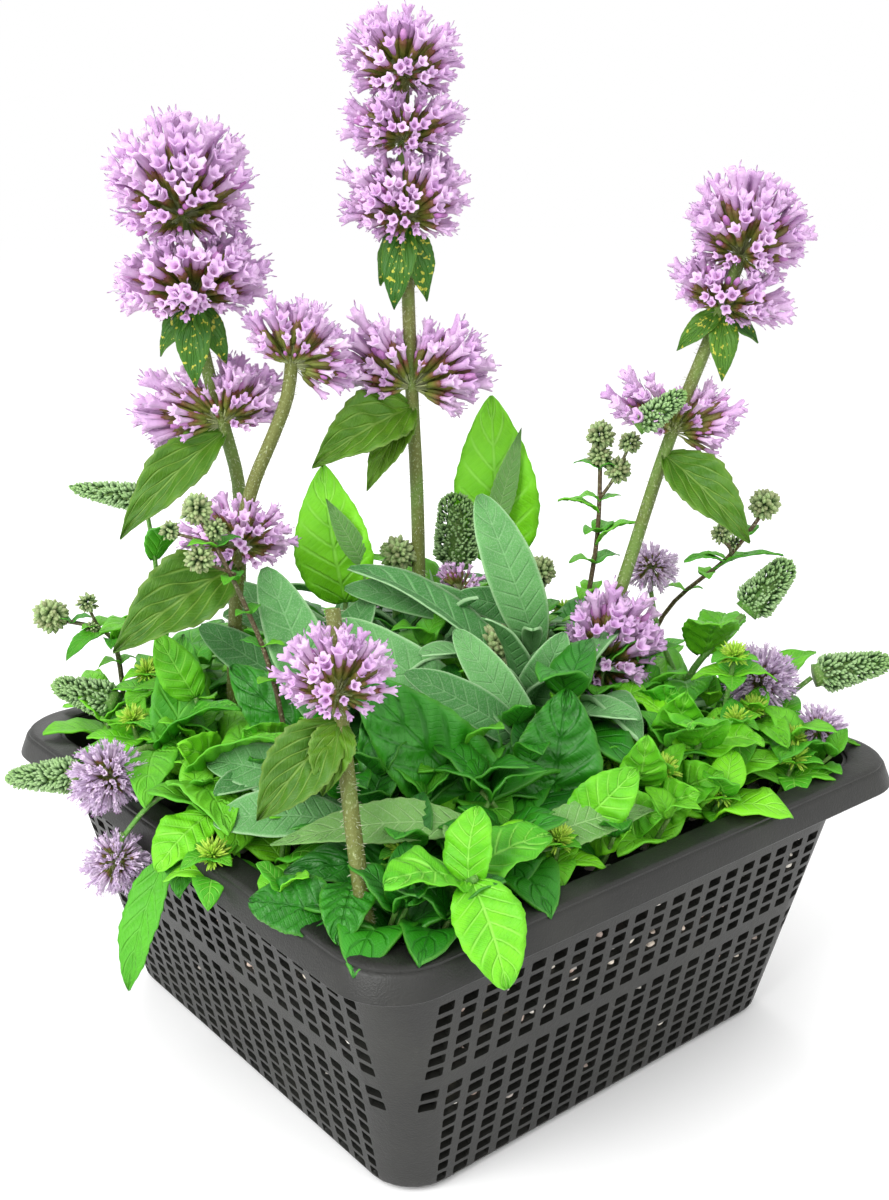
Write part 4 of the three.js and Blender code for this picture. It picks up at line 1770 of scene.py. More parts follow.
# ---- basket
@dataclass
class Basket:
    """The square basket: a pierced tapered wall, a floor and a turned-over rim."""

    foot_half: float = 71.0
    wall_top: float = 88.3
    foot_radius: float = 13.0
    top_radius: float = 16.7
    thick: float = 1.8
    pitch: float = 7.15
    hole_wide: float = 4.6
    hole_tall: float = 2.7
    columns: int = 20
    upper_row: float = 61.1
    upper_step: float = 4.02
    upper_rows: int = 6
    lower_row: float = 34.0
    lower_step: float = 3.83
    lower_rows: int = 9
    corner_steps: int = 6
    plain_from: float = 70.0
    rim_drop: float = 7.5
    open_half: float = 87.3
    open_radius: float = 15.6

    def build(self, places: Places) -> None:
        """Builds the wall and the rim.

        Args:
            places: The plant's marks.
        """
        self.rim_half = places.half
        self.rim_top = places.rim
        self._wall()
        self._rim()

    def half(self, z: float) -> float:
        """Half the wall's width at a height."""
        return self.foot_half + (self.wall_top - self.foot_half) * z / self.rim_top

    def around(self, half: float, radius: float, place: float, side: int, z: float) -> Vector:
        """A point of a rounded square, by its length from the middle of a side.

        Args:
            half: Half the square's width.
            radius: Its corner radius.
            place: The length from the side's middle, less than half a side.
            side: Which side, from 0 to 3.
            z: The height.

        Returns:
            The point.
        """
        flat = half - radius
        over = max(0.0, abs(place) - flat)
        turn = over / radius
        x = min(abs(place), flat) + radius * math.sin(turn)
        y = -(flat + radius * math.cos(turn))
        x = math.copysign(x, place)
        for _ in range(side):
            x, y = -y, x
        return Vector((x, y, z))

    def _stations(self, half: float, radius: float) -> list[float]:
        """The lengths from a side's middle of all upright lines of one side.

        Args:
            half: Half the wall's width here.
            radius: The corner radius here.

        Returns:
            The lengths, from one corner up to but not including the next.
        """
        end = half - radius + radius * math.pi / 4
        lines = []
        for column in range(self.columns):
            middle = (column - (self.columns - 1) / 2) * self.pitch
            lines += [middle - self.hole_wide / 2, middle + self.hole_wide / 2]
        bend = self.foot_half - self.foot_radius
        over = (end - 3.5 - bend) / (lines[-1] - bend)
        if over < 1.0:
            lines = [
                math.copysign(bend + (abs(p) - bend) * over, p) if abs(p) > bend else p
                for p in lines
            ]
        steps = self.corner_steps
        before = [-end + (end + lines[0]) * k / steps for k in range(steps)]
        after = [lines[-1] + (end - lines[-1]) * k / steps for k in range(1, steps)]
        return before + lines + after

    def _wall(self) -> None:
        """Builds the pierced wall and its floor."""
        rows = [self.upper_row - k * self.upper_step for k in range(self.upper_rows)]
        rows += [self.lower_row - k * self.lower_step for k in range(self.lower_rows)]
        levels = [(0.0, 2.4), (0.5, 0.9), (1.3, 0.2)]
        for z in sorted(rows):
            levels += [(z - self.hole_tall / 2, 0.0), (z + self.hole_tall / 2, 0.0)]
        levels += [(self.plain_from, 0.0), (self.rim_top - 1.2, 0.0)]
        first = 3
        low_rows = range(first, first + 2 * (self.lower_rows - 2), 2)
        rings: list[list[Vector]] = []
        for z, inset in levels:
            half = self.half(z) - inset
            radius = self.foot_radius + (self.top_radius - self.foot_radius) * z / self.rim_top
            stations = self._stations(half, radius)
            rings.append([
                self.around(half, radius, place, side, z)
                for side in range(4) for place in stations
            ])
        sides = len(rings[0])
        per_side = sides // 4

        bm = fresh()
        sleeve(bm, sides, len(rings), lambda ring, index: (rings[ring][index], 0.0))
        turn, row = bm.verts.layers.int["turn"], bm.verts.layers.int["row"]
        gone = []
        for face in bm.faces:
            level = min(v[row] for v in face.verts)
            turns = [v[turn] for v in face.verts]
            if level == max(v[row] for v in face.verts):
                if level:
                    gone.append(face)
                continue
            if level < first or (level - first) % 2 or level >= len(levels) - 2:
                continue
            if max(turns) - min(turns) > 1:
                continue
            spot = min(turns) % per_side - self.corner_steps
            if spot < 0 or spot % 2 or spot >= 2 * self.columns:
                continue
            column = spot // 2
            if column in (0, self.columns - 1) and level in low_rows:
                continue
            gone.append(face)
        bmesh.ops.delete(bm, geom=gone, context="FACES_ONLY")
        loose = [e for e in bm.edges if not e.link_faces]
        bmesh.ops.delete(bm, geom=loose, context="EDGES")
        corners = [v for v in bm.verts if v.is_boundary and 1.5 < v.co.z < self.plain_from - 1]
        bmesh.ops.bevel(
            bm, geom=corners, offset=0.3, offset_type="OFFSET", affect="VERTICES", segments=1,
            profile=0.5, material=-1,
        )
        bmesh.ops.recalc_face_normals(bm, faces=bm.faces[:])
        bmesh.ops.solidify(bm, geom=bm.faces[:], thickness=self.thick)
        settle(bm)
        self._finish(bm, "basket_wall")

    def _rim(self) -> None:
        """Builds the rim: a flat lip with a groove, and a skirt that flares out."""
        top, out = self.rim_top, self.rim_half
        low = top - self.rim_drop
        profile = [
            (self.open_half, top - 2.2), (self.open_half, top - 0.4), (self.open_half + 0.4, top),
            (out - 1.9, top), (out - 1.1, top - 0.15), (out - 0.6, top - 0.6),
            (out - 0.55, top - 1.2), (out - 0.1, top - 1.5), (out + 0.2, top - 2.0),
            (out + 1.7, low + 0.4), (out + 1.4, low), (out + 0.1, low),
            (out - 0.3, low + 0.3), (out - 1.8, top - 2.6), (out - 2.2, top - 3.0),
            (self.wall_top + 1.2, top - 3.0), (self.wall_top - 0.2, top - 3.4),
        ]
        rings = []
        for half, z in profile:
            radius = self.open_radius + (half - self.open_half) * 0.13
            end = half - radius + radius * math.pi / 4
            flat = half - radius
            places = [-flat * (1 - k / 4) for k in range(8)] + [flat]
            arc = [flat + (end - flat) * k / 6 for k in range(1, 7)]
            stations = [-p for p in reversed(arc)] + places + arc[:-1]
            rings.append([
                self.around(half, radius, place, side, z) for side in range(4) for place in stations
            ])
        bm = fresh()
        sides = len(rings[0])
        sleeve(bm, sides, len(rings), lambda ring, index: (rings[ring][index], 0.0), closed=False)
        settle(bm)
        self._finish(bm, "basket_rim")

    @staticmethod
    def _finish(bm: bmesh.types.BMesh, name: str) -> None:
        """Makes the piece, smooth but for its sharp edges.

        Args:
            bm: The shape.
            name: The piece's name.
        """
        piece = Builder()
        piece.put(Template.of(bm, [PLASTIC]), IN_PLACE)
        made = piece.finish(name, "basket_plastic", ("basket",))
        made.data.set_sharp_from_angle(angle=math.radians(38))


@dataclass
class Bed:
    """The compost, the gravel on it and the pebbles."""

    stones: int = 620
    corner_stones: int = 120
    wall_stones: int = 430
    reach: float = 82.0
    seed: int = 5

    def build(self, places: Places, basket: Basket) -> None:
        """Dresses the compost and scatters stones.

        Args:
            places: The plant's marks.
            basket: The basket, for its wall.
        """
        for node in ("soil", "root_ball", "gravel"):
            self._paint(node, COMPOST)
        dice = random.Random(self.seed)
        shapes = [self._stone(dice) for _ in range(6)]
        piece = Builder()
        for _ in range(self.stones):
            x, y = dice.uniform(-self.reach, self.reach), dice.uniform(-self.reach, self.reach)
            if dice.random() > 0.35 + 0.65 * (-x - y + 60) / 220:
                continue
            size = dice.uniform(1.3, 2.8)
            spot = Vector((x, y, places.ground_z + dice.uniform(-1.6, 0.2)))
            self._drop(piece, dice.choice(shapes), spot, size, dice)
        for _ in range(self.corner_stones):
            x, y = dice.triangular(-84, -40, -80), dice.triangular(-84, -40, -80)
            spot = Vector((x, y, places.ground_z + dice.uniform(-0.6, 1.2)))
            self._drop(piece, dice.choice(shapes), spot, dice.uniform(2.2, 4.2), dice)
        piece.finish("gravel_stones", "gravel_stone")
        inside = Builder()
        for _ in range(self.wall_stones):
            z = dice.triangular(5, 68, 62)
            half = basket.half(z) - basket.thick
            along = dice.uniform(-half + 16, half - 16)
            point = basket.around(half - dice.uniform(0.2, 0.7), 12.0, along, dice.randrange(4), z)
            self._drop(inside, dice.choice(shapes), point, dice.uniform(0.9, 1.9), dice)
        inside.finish("compost_stones", "gravel_stone")
        for node in ("pebble_front", "pebble_front_left", "pebble_front_right"):
            low, high = (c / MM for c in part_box(node))
            pebble = Builder()
            grown = Matrix.Translation((low + high) / 2) @ Matrix.Diagonal(
                (*((high - low) / 2 * 0.98), 1.0)
            )
            pebble.put(self._stone(dice, 3), grown, dice.uniform(0.5, 1.0))
            pebble.finish(f"{node}_stone", "pebble_stone", (node,))

    @staticmethod
    def _paint(node: str, finish: Finish) -> None:
        """Gives a CAD node a finish.

        Args:
            node: The node.
            finish: Its finish.
        """
        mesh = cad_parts[node].data
        mesh.materials.clear()
        mesh.materials.append(finish.material())

    @staticmethod
    def _stone(dice: random.Random, fine: int = 2) -> Template:
        """A rounded stone of radius 1.

        Args:
            dice: The source of chance.
            fine: How finely it is divided.

        Returns:
            The template.
        """
        bm = fresh()
        bmesh.ops.create_icosphere(bm, subdivisions=fine, radius=1.0)
        for _ in range(5):
            side = any_way(dice).normalized()
            for vert in bm.verts:
                over = vert.co.dot(side) - 0.62
                if over > 0:
                    vert.co -= side * over * 0.75
        bmesh.ops.smooth_vert(bm, verts=bm.verts[:], factor=0.3)
        return Template.of(bm, [STONE])

    @staticmethod
    def _drop(piece: Builder, shape: Template, spot: Vector, size: float, dice: random.Random
              ) -> None:
        """Places one stone, turned any way.

        Args:
            piece: Where it goes.
            shape: The stone.
            spot: Its place.
            size: Its radius.
            dice: The source of chance.
        """
        turn = Matrix.Rotation(dice.uniform(0, 6.28), 4, "Z") @ Matrix.Rotation(
            dice.uniform(-0.4, 0.4), 4, "X"
        )
        form = Matrix.Diagonal((size * dice.uniform(0.9, 1.4), size, size * 0.72, 1.0))
        piece.put(shape, Matrix.Translation(spot) @ turn @ form, dice.random())


# ---- studio
@dataclass
class Studio:
    """The pale floor, soft lights and the camera."""

    azimuth: float = -39.33
    elevation: float = 16.71
    distance: float = 0.3977
    aim_height: float = 0.1254
    lens: float = 41.32

    def build(self) -> None:
        """Builds the floor, the world, the lights and the camera."""
        scene = bpy.context.scene
        scene.view_settings.view_transform = "Standard"
        bm = bmesh.new()
        bmesh.ops.create_grid(bm, x_segments=1, y_segments=1, size=6.0)
        bmesh.ops.translate(bm, verts=bm.verts[:], vec=(0.0, 0.0, -0.0006))
        mesh = bpy.data.meshes.new("floor")
        bm.to_mesh(mesh)
        bm.free()
        mesh.materials.append(FloorFinish("pale_floor").material())
        floor = bpy.data.objects.new("floor", mesh)
        scene.collection.objects.link(floor)
        world = bpy.data.worlds.new("studio")
        world.use_nodes = True
        back = world.node_tree.nodes["Background"]
        back.inputs["Color"].default_value = (1.0, 1.0, 1.0, 1.0)
        back.inputs["Strength"].default_value = 1.0
        scene.world = world
        self._light("key", (-0.8, -0.15, 0.7), 0.55, 8.0)
        self._light("front", (-0.2, -0.9, 0.7), 0.7, 2.5)
        self._light("back", (0.4, 0.8, 0.8), 0.6, 3.0)
        self._camera()

    @staticmethod
    def _light(name: str, place: tuple, size: float, power: float) -> None:
        """Adds a soft light aimed at the plant.

        Args:
            name: Its name.
            place: Where it is.
            size: Its width.
            power: Its power in watts.
        """
        data = bpy.data.lights.new(name, "AREA")
        data.energy = power
        data.size = size
        lamp = bpy.data.objects.new(name, data)
        lamp.location = place
        aim = Vector((0.0, 0.0, 0.12)) - Vector(place)
        lamp.rotation_euler = aim.to_track_quat("-Z", "Y").to_euler()
        bpy.context.scene.collection.objects.link(lamp)

    def _camera(self) -> None:
        """Adds the camera and makes it the scene's."""
        a, e = math.radians(self.azimuth), math.radians(self.elevation)
        back = Vector((math.sin(a) * math.cos(e), -math.cos(a) * math.cos(e), math.sin(e)))
        data = bpy.data.cameras.new("camera")
        data.lens = self.lens
        data.sensor_width = 36.0
        data.clip_start, data.clip_end = 0.01, 30.0
        camera = bpy.data.objects.new("camera", data)
        camera.location = Vector((0.0, 0.0, self.aim_height)) + back * self.distance
        camera.rotation_euler = (-back).to_track_quat("-Z", "Y").to_euler()
        bpy.context.scene.collection.objects.link(camera)
        bpy.context.scene.camera = camera


# ---- the plant
TALL_STEMS = [
    TallStem("left", (-0.8, 0.52, 0.31), 15),
    TallStem("centre", (-0.3, 0.25, 0.4), 19, (-0.14, 0.2, 0.36)),
    TallStem("right", (0.66, -0.62, 0.3), 16, (0.76, -0.5, 0.33)),
    TallStem("inner_left", (-0.95, 0.3, 0.19), 21),
    TallStem("front", (-1.0, -0.52, 0.1), 16, (-0.88, -0.62, 0.13)),
]
WHORLS = [
    Whorl("whorl_left_top", "left"),
    Whorl("whorl_left_middle", "left",
          [(-3, -4, -23), (6, -6, -17), (3, 5, -20), (-8, 6, -15)]),
    Whorl("whorl_left_second", "left"),
    Whorl("whorl_centre_top", "centre"),
    Whorl("whorl_centre_middle", "centre"),
    Whorl("whorl_centre_low", "centre",
          [(-6, -2, -24), (3.3, -5.3, -22), (6, 5, -20), (-4, 7, -18)]),
    Whorl("whorl_centre_second", "centre"),
    Whorl("whorl_right_top", "right"),
    Whorl("whorl_right_middle", "right",
          [(-3, -4, -19), (-10, 7, -11), (5, 4, -16), (8, -7, -9)]),
    Whorl("whorl_right_second", "right"),
    Whorl("whorl_right_low", "right"),
    Whorl("whorl_inner_left_top", "inner_left"),
    Whorl("whorl_inner_left_low", "inner_left"),
    Whorl("whorl_front", "front"),
]
STANDING = [
    Shoot("leaf_bright_left", "bright_leaf", BRIGHT, [(-0.2, 0.34), (-0.17, 0.28, 0.19)],
          [Blade(1.0, (-0.2, 0.34, 0.39), 22, (-0.55, -0.7, 0.3))], radius=0.9),
    Shoot("leaf_bright_right", "bright_leaf", BRIGHT, [(0.42, 0.4), (0.46, 0.26, 0.2)],
          [Blade(1.0, (0.47, 0.33, 0.46), 26, (-0.55, -0.7, 0.3))], radius=0.9),
]
SHOOTS = STANDING + [
    Shoot("shoot_left", "mint_leaf", MINT,
          [(-0.72, 0.3), (-0.8, 0.28, 0.02), (-0.9, 0.24, 0.06), (-0.97, 0.22, 0.045)],
          [Blade(0.45, (-0.62, 0.5, 0.16), 15), Blade(0.6, (-0.7, 0.05, 0.12), 16),
           Blade(0.7, (-1.02, 0.02, 0.03), 14), Blade(0.5, (-1.0, 0.62, -0.03), 15)],
          [[(-0.85, 0.26, 0.045), (-0.92, 0.36, 0.035), (-1.0, 0.46, 0.0)],
           [(-0.78, 0.29, 0.01), (-0.76, 0.5, 0.04), (-0.79, 0.64, 0.055)]]),
    Shoot("shoot_left_low", "mint_leaf", MINT,
          [(-0.7, -0.04), (-0.82, 0.0, 0.03), (-0.97, 0.04, 0.03), (-1.07, 0.08, -0.02)],
          [Blade(0.6, (-0.95, -0.3, 0.04), 17), Blade(0.55, (-0.75, -0.3, 0.13), 16),
           Blade(0.3, (-0.55, 0.12, 0.1), 16)], radius=0.8),
    Shoot("shoot_left_back", "mint_leaf", MINT,
          [(-0.55, 0.72), (-0.58, 0.72, 0.12), (-0.6, 0.7, 0.25), (-0.62, 0.7, 0.33)],
          [Blade(0.5, (-0.85, 0.6, 0.17), 12), Blade(0.55, (-0.36, 0.78, 0.2), 12),
           Blade(0.8, (-0.62, 0.5, 0.32), 9), Blade(0.3, (-0.25, 0.9, 0.1), 14)], radius=0.8),
    Shoot("shoot_centre", "mint_leaf", MINT,
          [(0.27, 0.34), (0.28, 0.32, 0.1), (0.29, 0.29, 0.2)],
          [Blade(0.8, (0.08, 0.5, 0.22), 15), Blade(0.75, (0.52, 0.1, 0.18), 15),
           Blade(0.5, (0.05, 0.06, 0.14), 17), Blade(0.45, (0.5, 0.55, 0.12), 17)]),
    Shoot("shoot_right_back", "mint_leaf", MINT,
          [(0.68, -0.3), (0.72, -0.36, 0.06), (0.78, -0.44, 0.13), (0.83, -0.48, 0.165)],
          [Blade(0.7, (0.55, -0.62, 0.19), 16), Blade(0.8, (0.98, -0.3, 0.13), 14),
           Blade(0.5, (0.62, 0.0, 0.09), 17), Blade(0.45, (0.45, -0.6, 0.08), 17)],
          [[(0.71, -0.34, 0.05), (0.69, -0.26, 0.12), (0.68, -0.22, 0.19)]]),
    Shoot("shoot_right", "mint_leaf", MINT,
          [(0.7, -0.56), (0.74, -0.57, 0.02), (0.79, -0.58, 0.04)],
          [Blade(0.6, (0.56, -0.88, 0.05), 15), Blade(0.8, (1.06, -0.6, 0.1), 13),
           Blade(0.4, (0.96, -0.86, 0.0), 13), Blade(0.3, (0.42, -0.5, 0.06), 17)],
          [[(0.75, -0.57, 0.022), (0.86, -0.64, 0.055), (0.92, -0.69, 0.085)]]),
    Shoot("shoot_right_low", "mint_leaf", MINT,
          [(0.78, -0.78), (0.81, -0.78, -0.015), (0.84, -0.78, -0.005)],
          [Blade(0.6, (0.5, -0.9, 0.04), 15), Blade(0.5, (0.92, -0.46, 0.03), 13)]),
    Shoot("sprig_left", "bud_sprig", MINT,
          [(-0.7, 0.78), (-0.7, 0.79, 0.08), (-0.74, 0.8, 0.14), (-0.87, 0.9, 0.16)],
          [Blade(0.66, (-0.66, 0.66, 0.18), 7), Blade(0.75, (-0.9, 0.74, 0.12), 6)],
          [[(-0.74, 0.8, 0.138), (-0.76, 0.8, 0.15), (-0.79, 0.79, 0.18)]],
          [(-0.87, 0.9, 0.165, 5.0), (-0.795, 0.79, 0.19, 3.0), (-0.78, 0.8, 0.15, 2.2)], 0.8,
          BROWN_STALK, (0.55, 0.9, 4, 6.5)),
    Shoot("sprig_right", "bud_sprig", MINT,
          [(0.48, -0.04), (0.5, -0.1, 0.14), (0.52, -0.13, 0.28), (0.52, -0.13, 0.41)],
          [Blade(0.8, (0.42, -0.05, 0.33), 7), Blade(0.7, (0.6, -0.24, 0.3), 8)],
          [[(0.52, -0.13, 0.33), (0.55, -0.16, 0.36), (0.58, -0.19, 0.405)]],
          [(0.52, -0.13, 0.425, 4.2), (0.585, -0.195, 0.415, 3.4), (0.52, -0.13, 0.395, 3.6),
           (0.56, -0.17, 0.375, 4.0)], 0.8, BROWN_STALK, (0.45, 0.93, 6, 8.0)),
    Shoot("sprig_right_back", "bud_sprig", MINT,
          [(0.84, 0.04), (0.86, -0.12, 0.12), (0.86, -0.38, 0.24), (0.9, -0.47, 0.31)],
          [Blade(0.8, (0.72, -0.32, 0.24), 6), Blade(0.75, (0.96, -0.52, 0.25), 6)],
          [[(0.862, -0.39, 0.245), (0.83, -0.41, 0.26), (0.79, -0.41, 0.275)]],
          [(0.905, -0.475, 0.325, 4.6), (0.785, -0.41, 0.285, 3.2), (0.86, -0.4, 0.265, 2.4)],
          0.8, BROWN_STALK, (0.6, 0.92, 4, 6.5)),
    Shoot("sprig_inner", "bud_sprig", MINT,
          [(-0.6, -0.1), (-0.62, -0.02, 0.14), (-0.69, 0.03, 0.27), (-0.78, 0.09, 0.38)], [],
          [[(-0.7, 0.04, 0.3), (-0.78, 0.07, 0.32)], [(-0.74, 0.06, 0.34), (-0.83, 0.13, 0.355)]],
          [(-0.78, 0.09, 0.385, 4.0), (-0.79, 0.07, 0.325, 3.8), (-0.84, 0.135, 0.358, 2.6),
           (-0.745, 0.06, 0.36, 3.0)], 0.7, BROWN_STALK, (0.5, 0.9, 5, 7.0)),
    Shoot("knob_back_left", "bud_sprig", MINT, [(0.02, 0.26), (0.02, 0.257, 0.12), (0.018, 0.257, 0.25)],
          [], [], [(0.018, 0.257, 0.25, 5.2)], 0.8, GREEN_STALK, (0.5, 0.8, 2, 9.0)),
    Shoot("knob_back_right", "bud_sprig", MINT, [(0.41, 0.0), (0.41, 0.0, 0.1), (0.406, 0.007, 0.21)],
          [], [], [(0.406, 0.007, 0.217, 4.6)], 0.8, GREEN_STALK, (0.5, 0.8, 2, 9.0)),
    Shoot("knob_middle", "bud_sprig", MINT, [(0.1, -0.12), (0.08, -0.15, 0.08), (0.048, -0.175, 0.15)],
          [], [], [(0.048, -0.175, 0.157, 6.4)], 0.8, GREEN_STALK),
    Shoot("shoot_sage_centre", "grey_green_leaf", SAGE,
          [(0.06, -0.3), (0.06, -0.3, 0.05), (0.05, -0.28, 0.12)],
          [Blade(0.6, (-0.28, 0.1, 0.27), 17),
           Blade(0.7, (0.1, -0.42, 0.2), 12, VIEWER), Blade(0.8, (-0.33, -0.3, 0.2), 14),
           Blade(0.9, (-0.12, -0.32, 0.23), 10), Blade(0.5, (0.1, -0.72, 0.12), 14)]),
    Shoot("shoot_sage_left", "grey_green_leaf", SAGE,
          [(-0.56, -0.14), (-0.5, -0.1, 0.04), (-0.42, -0.02, 0.1)],
          [Blade(0.8, (-0.56, 0.12, 0.29), 15, VIEWER), Blade(0.9, (-0.2, 0.1, 0.22), 14),
           Blade(0.4, (-0.93, -0.2, 0.07), 13), Blade(0.3, (-0.88, -0.42, 0.1), 12)]),
    Shoot("shoot_broad", "dark_leaf", BROAD,
          [(-0.28, -0.52), (-0.28, -0.52, 0.0), (-0.28, -0.5, 0.03)],
          [Blade(0.8, (-0.57, -0.32, 0.2), 24, VIEWER), Blade(0.8, (0.02, -0.6, 0.12), 18, VIEWER),
           Blade(0.9, (-0.22, -0.3, 0.16), 16, VIEWER)]),
    Shoot("shoot_front_rim", "bright_leaf", ROUNDED,
          [(-0.62, -0.74), (-0.64, -0.8, 0.01), (-0.67, -0.9, 0.045), (-0.68, -0.94, 0.06)],
          [Blade(0.95, (-0.72, -1.1, -0.03), 15, (-0.3, -0.9, 0.3)),
           Blade(0.8, (-0.88, -0.86, 0.07), 16), Blade(0.7, (-0.42, -0.92, 0.07), 16),
           Blade(0.5, (-0.34, -0.8, 0.05), 13), Blade(0.9, (-0.6, -0.86, 0.12), 12)]),
    Shoot("shoot_right_rim", "bright_leaf", ROUNDED,
          [(0.3, -0.72), (0.32, -0.73, 0.02), (0.34, -0.74, 0.07)],
          [Blade(0.9, (0.12, -0.88, 0.13), 18), Blade(0.85, (0.5, -0.84, 0.06), 16),
           Blade(0.5, (0.08, -0.86, 0.02), 17), Blade(0.5, (0.58, -0.88, 0.03), 15),
           Blade(0.8, (0.32, -0.5, 0.1), 15)]),
]
SPRAYS = [
    Spray("spray_sage", "grey_green_leaf", SAGE, [
        ((0.2, -0.2, 0.14), (0.085, -0.06, 0.36), 15, VIEWER),
        ((0.16, -0.06, 0.17), (-0.29, 0.11, 0.24), 11, (-0.4, -0.8, 0.5)),
        ((0.3, -0.14, 0.17), (0.02, -0.04, 0.22), 11, (-0.5, -0.8, 0.3)),
        ((-0.1, -0.38, 0.06), (-0.38, 0.03, 0.21), 15, VIEWER),
        ((-0.12, -0.5, 0.08), (-0.42, -0.35, 0.19), 11, (-0.5, -0.6, 0.7)),
        ((-0.1, -0.52, 0.08), (-0.25, -0.35, 0.23), 11, VIEWER),
        ((-0.2, 0.18, 0.12), (-0.52, 0.48, 0.23), 12, VIEWER),
        ((-0.24, 0.2, 0.14), (-0.56, 0.36, 0.2), 11, (-0.5, -0.6, 0.9)),
        ((-0.4, 0.05, 0.08), (-0.64, 0.36, 0.19), 12, VIEWER),
        ((-0.66, -0.42, 0.03), (-0.95, -0.22, 0.04), 13, (-0.6, -0.5, 0.9)),
        ((-0.62, -0.38, 0.05), (-0.86, -0.04, 0.08), 13, (-0.6, -0.6, 0.8)),
        ((0.1, 0.2, 0.1), (0.3, 0.55, 0.2), 13, (0.2, 0.7, 0.9)),
        ((0.0, 0.25, 0.1), (-0.2, 0.62, 0.18), 13, (0.0, 0.7, 0.9)),
    ]),
    Spray("spray_dark", "dark_leaf", BROAD, [
        ((-0.39, -0.43, -0.01), (-0.51, -0.3, 0.15), 25, VIEWER),
        ((-0.16, -0.63, -0.01), (-0.05, -0.59, 0.16), 25, VIEWER),
        ((-0.9, -0.7, 0.0), (-1.02, -0.5, 0.0), 15, (-0.5, -0.4, 0.9)),
        ((-0.82, -0.66, 0.02), (-0.97, -0.8, 0.0), 13, (-0.5, -0.5, 0.7)),
        ((-0.26, -0.58, 0.02), (-0.36, -0.28, 0.15), 13, (-0.7, -0.5, 0.3)),
        ((-0.62, -0.62, 0.0), (-0.92, -0.5, 0.02), 14, (-0.3, -0.5, 0.9)),
        ((-0.6, -0.7, 0.0), (-0.8, -0.84, 0.03), 13, (-0.3, -0.5, 0.9)),
        ((-0.5, -0.1, 0.04), (-0.66, 0.16, 0.16), 18, VIEWER),
    ]),
    Spray("spray_pale", "bright_leaf", PALE, [
        ((-0.47, -0.7, 0.05), (-0.93, -0.46, 0.05), 12, (-0.3, -0.5, 0.9)),
        ((-0.36, -0.74, 0.01), (0.0, -0.88, 0.035), 12, (-0.3, -0.5, 0.9)),
        ((-0.5, -0.68, 0.04), (-0.66, -0.84, 0.06), 9, (-0.3, -0.5, 0.9)),
    ]),
    Spray("spray_folded", "bright_leaf", PALE, [
        ((0.38, 0.22, 0.25), (0.46, 0.168, 0.421), 8, VIEWER),
        ((-0.15, 0.2, 0.25), (-0.255, 0.25, 0.352), 7, VIEWER),
    ], 0.1),
    Spray("spray_mint", "mint_leaf", ROUNDED, [
        ((-0.1, -0.74, 0.0), (-0.12, -0.9, 0.03), 14, VIEWER),
        ((0.03, -0.74, 0.0), (0.0, -0.9, 0.03), 14, VIEWER),
        ((0.14, -0.74, 0.0), (0.15, -0.9, 0.04), 13, VIEWER),
        ((0.24, -0.72, 0.0), (0.27, -0.88, 0.05), 14, VIEWER),
        ((-0.62, -0.02, 0.06), (-0.78, -0.1, 0.12), 14, VIEWER),
        ((-0.76, 0.1, 0.05), (-0.92, 0.0, 0.1), 13, VIEWER),
        ((-0.7, 0.3, 0.1), (-0.78, 0.36, 0.19), 12, VIEWER),
        ((0.4, -0.5, 0.06), (0.36, -0.62, 0.12), 15, VIEWER),
        ((0.3, -0.66, 0.06), (0.22, -0.78, 0.15), 15, VIEWER),
        ((-0.9, -0.1, 0.02), (-1.08, -0.14, -0.02), 14, (-0.8, -0.4, 0.6)),
        ((-0.2, -0.78, 0.02), (-0.08, -0.88, 0.1), 14, VIEWER),
        ((0.1, -0.72, 0.03), (0.02, -0.82, 0.12), 13, VIEWER),
    ]),
    Spray("spray_rim_left", "mint_leaf", RIM, [
        ((-1.0, -0.03, -0.04), (-1.13, -0.03, -0.2), 11, (-0.9, -0.5, 0.2)),
        ((-0.95, -0.1, 0.0), (-1.05, -0.2, -0.05), 10, (-0.8, -0.5, 0.5)),
    ]),
]
TUFTS = [
    (0.534, -0.71, 0.058), (0.58, -0.65, 0.14), (0.3, -0.85, 0.005), (0.62, -0.86, 0.015),
    (-0.846, 0.421, 0.059), (-0.98, -0.26, 0.0), (-0.66, -0.64, 0.03), (-0.3, -0.82, 0.02),
    (-0.7, 0.6, 0.09), (0.2, 0.72, 0.06), (0.75, 0.5, 0.05), (-0.3, 0.8, 0.06),
]
POSIES = [(0.01, 0.264, 0.19, 8.0), (0.2, 0.16, 0.19, 9.0), (0.25, 0.24, 0.17, 8.0)]
BALL, SPIKE = HeadKind.BALL, HeadKind.SPIKE
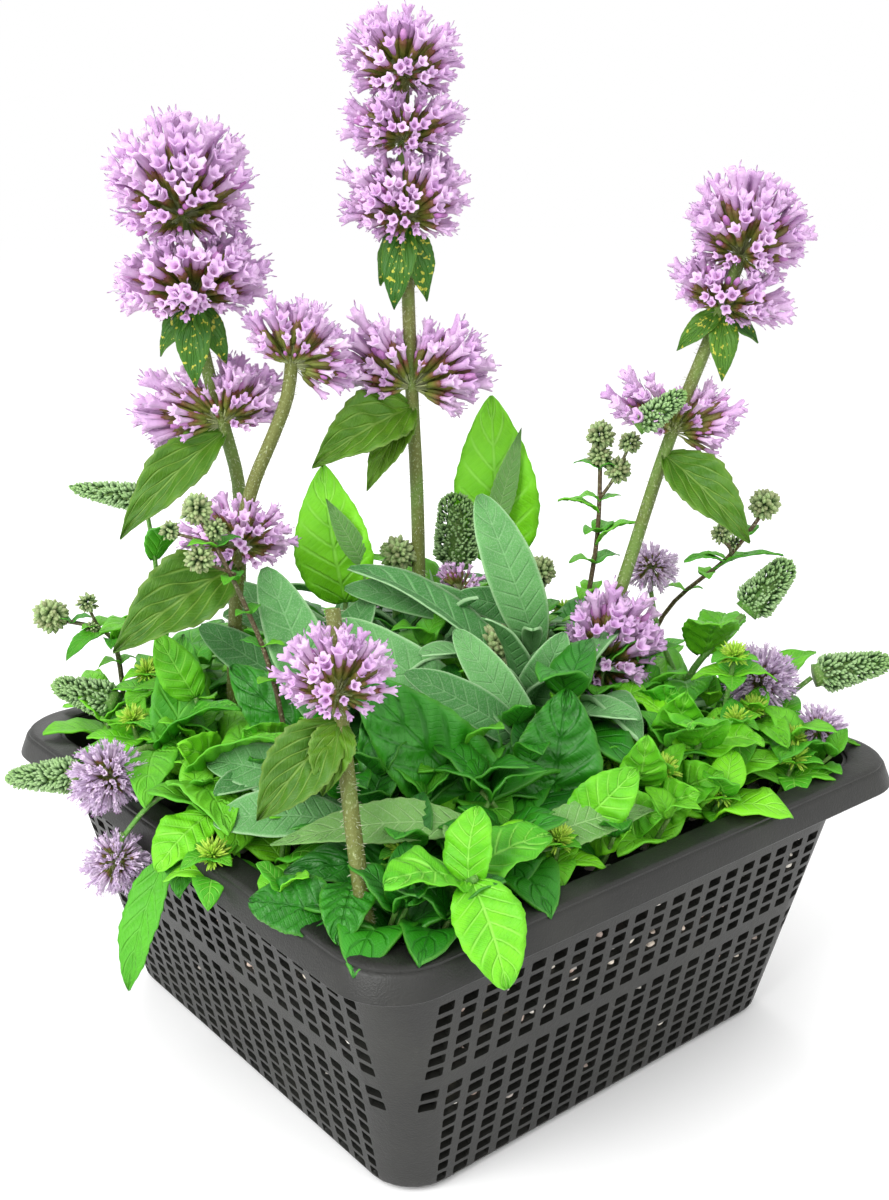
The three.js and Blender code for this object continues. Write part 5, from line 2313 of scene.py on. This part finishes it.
SMALL_HEADS = [
    SmallHead("pompom_left", BALL, (-0.97, 0.22, 0.045), (-1.2, 0.12, 0.045), 10, 19),
    SmallHead("spike_left", SPIKE, (-1.0, 0.46, 0.0), (-1.15, 0.7, -0.025), 5.5, 26, 0.45),
    SmallHead("spike_left_upper", SPIKE, (-0.79, 0.64, 0.055), (-0.95, 0.86, 0.08), 6, 21, 0.45),
    SmallHead("pompom_left_low", BALL, (-1.07, 0.08, -0.02), (-1.16, 0.1, -0.2), 9, 16),
    SmallHead("spike_left_back", SPIKE, (-0.62, 0.7, 0.34), (-0.78, 0.92, 0.35), 4.5, 24, 0.5),
    SmallHead("spike_centre", SPIKE, (0.29, 0.29, 0.205), (0.29, 0.3, 0.4), 7.5, 24, 0.25),
    SmallHead("spike_right_back", SPIKE, (0.835, -0.485, 0.17), (0.97, -0.56, 0.25), 6.5, 20, 0.35),
    SmallHead("pompom_right_back", BALL, (0.68, -0.22, 0.195), (0.68, -0.22, 0.4), 9.5, 17),
    SmallHead("pompom_right", BALL, (0.79, -0.585, 0.045), (0.8, -0.62, 0.3), 11, 19),
    SmallHead("spike_right", SPIKE, (0.925, -0.695, 0.088), (1.1, -0.84, 0.11), 6, 23, 0.4),
    SmallHead("pompom_right_low", BALL, (0.84, -0.78, 0.0), (0.86, -0.79, 0.2), 8.5, 14),
    SmallHead("spike_sprig", SPIKE, (0.42, -0.37, 0.455), (0.53, -0.46, 0.505), 4.2, 16, 0.3),
]


def main() -> None:
    """Builds the basket, the plant and the studio."""
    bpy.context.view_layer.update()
    places = Places()
    Studio().build()
    basket = Basket()
    basket.build(places)
    Bed().build(places, basket)
    stock, leaves = HeadStock(), LeafStock()
    lines = {
        stem.name: stem.build(stock, places, STEM_SEED + index)
        for index, stem in enumerate(TALL_STEMS)
    }
    for index, whorl in enumerate(WHORLS):
        whorl.build(stock, lines[whorl.stem], WHORL_SEED + index)
    for index, shoot in enumerate(SHOOTS):
        shoot.build(stock, leaves, places, SHOOT_SEED + index)
    for index, head in enumerate(SMALL_HEADS):
        head.build(stock, places, HEAD_SEED + index)
    for index, spray in enumerate(SPRAYS):
        spray.build(places, SPRAY_SEED + index)
    Undergrowth().build(stock, leaves, places, UNDERGROWTH_SEED)
    Accents(TUFTS, POSIES).build(stock, leaves, places, ACCENT_SEED)
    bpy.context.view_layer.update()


if __name__ == "__main__":
    logging.basicConfig(level=logging.INFO, format="%(message)s", stream=sys.stdout)
    main()
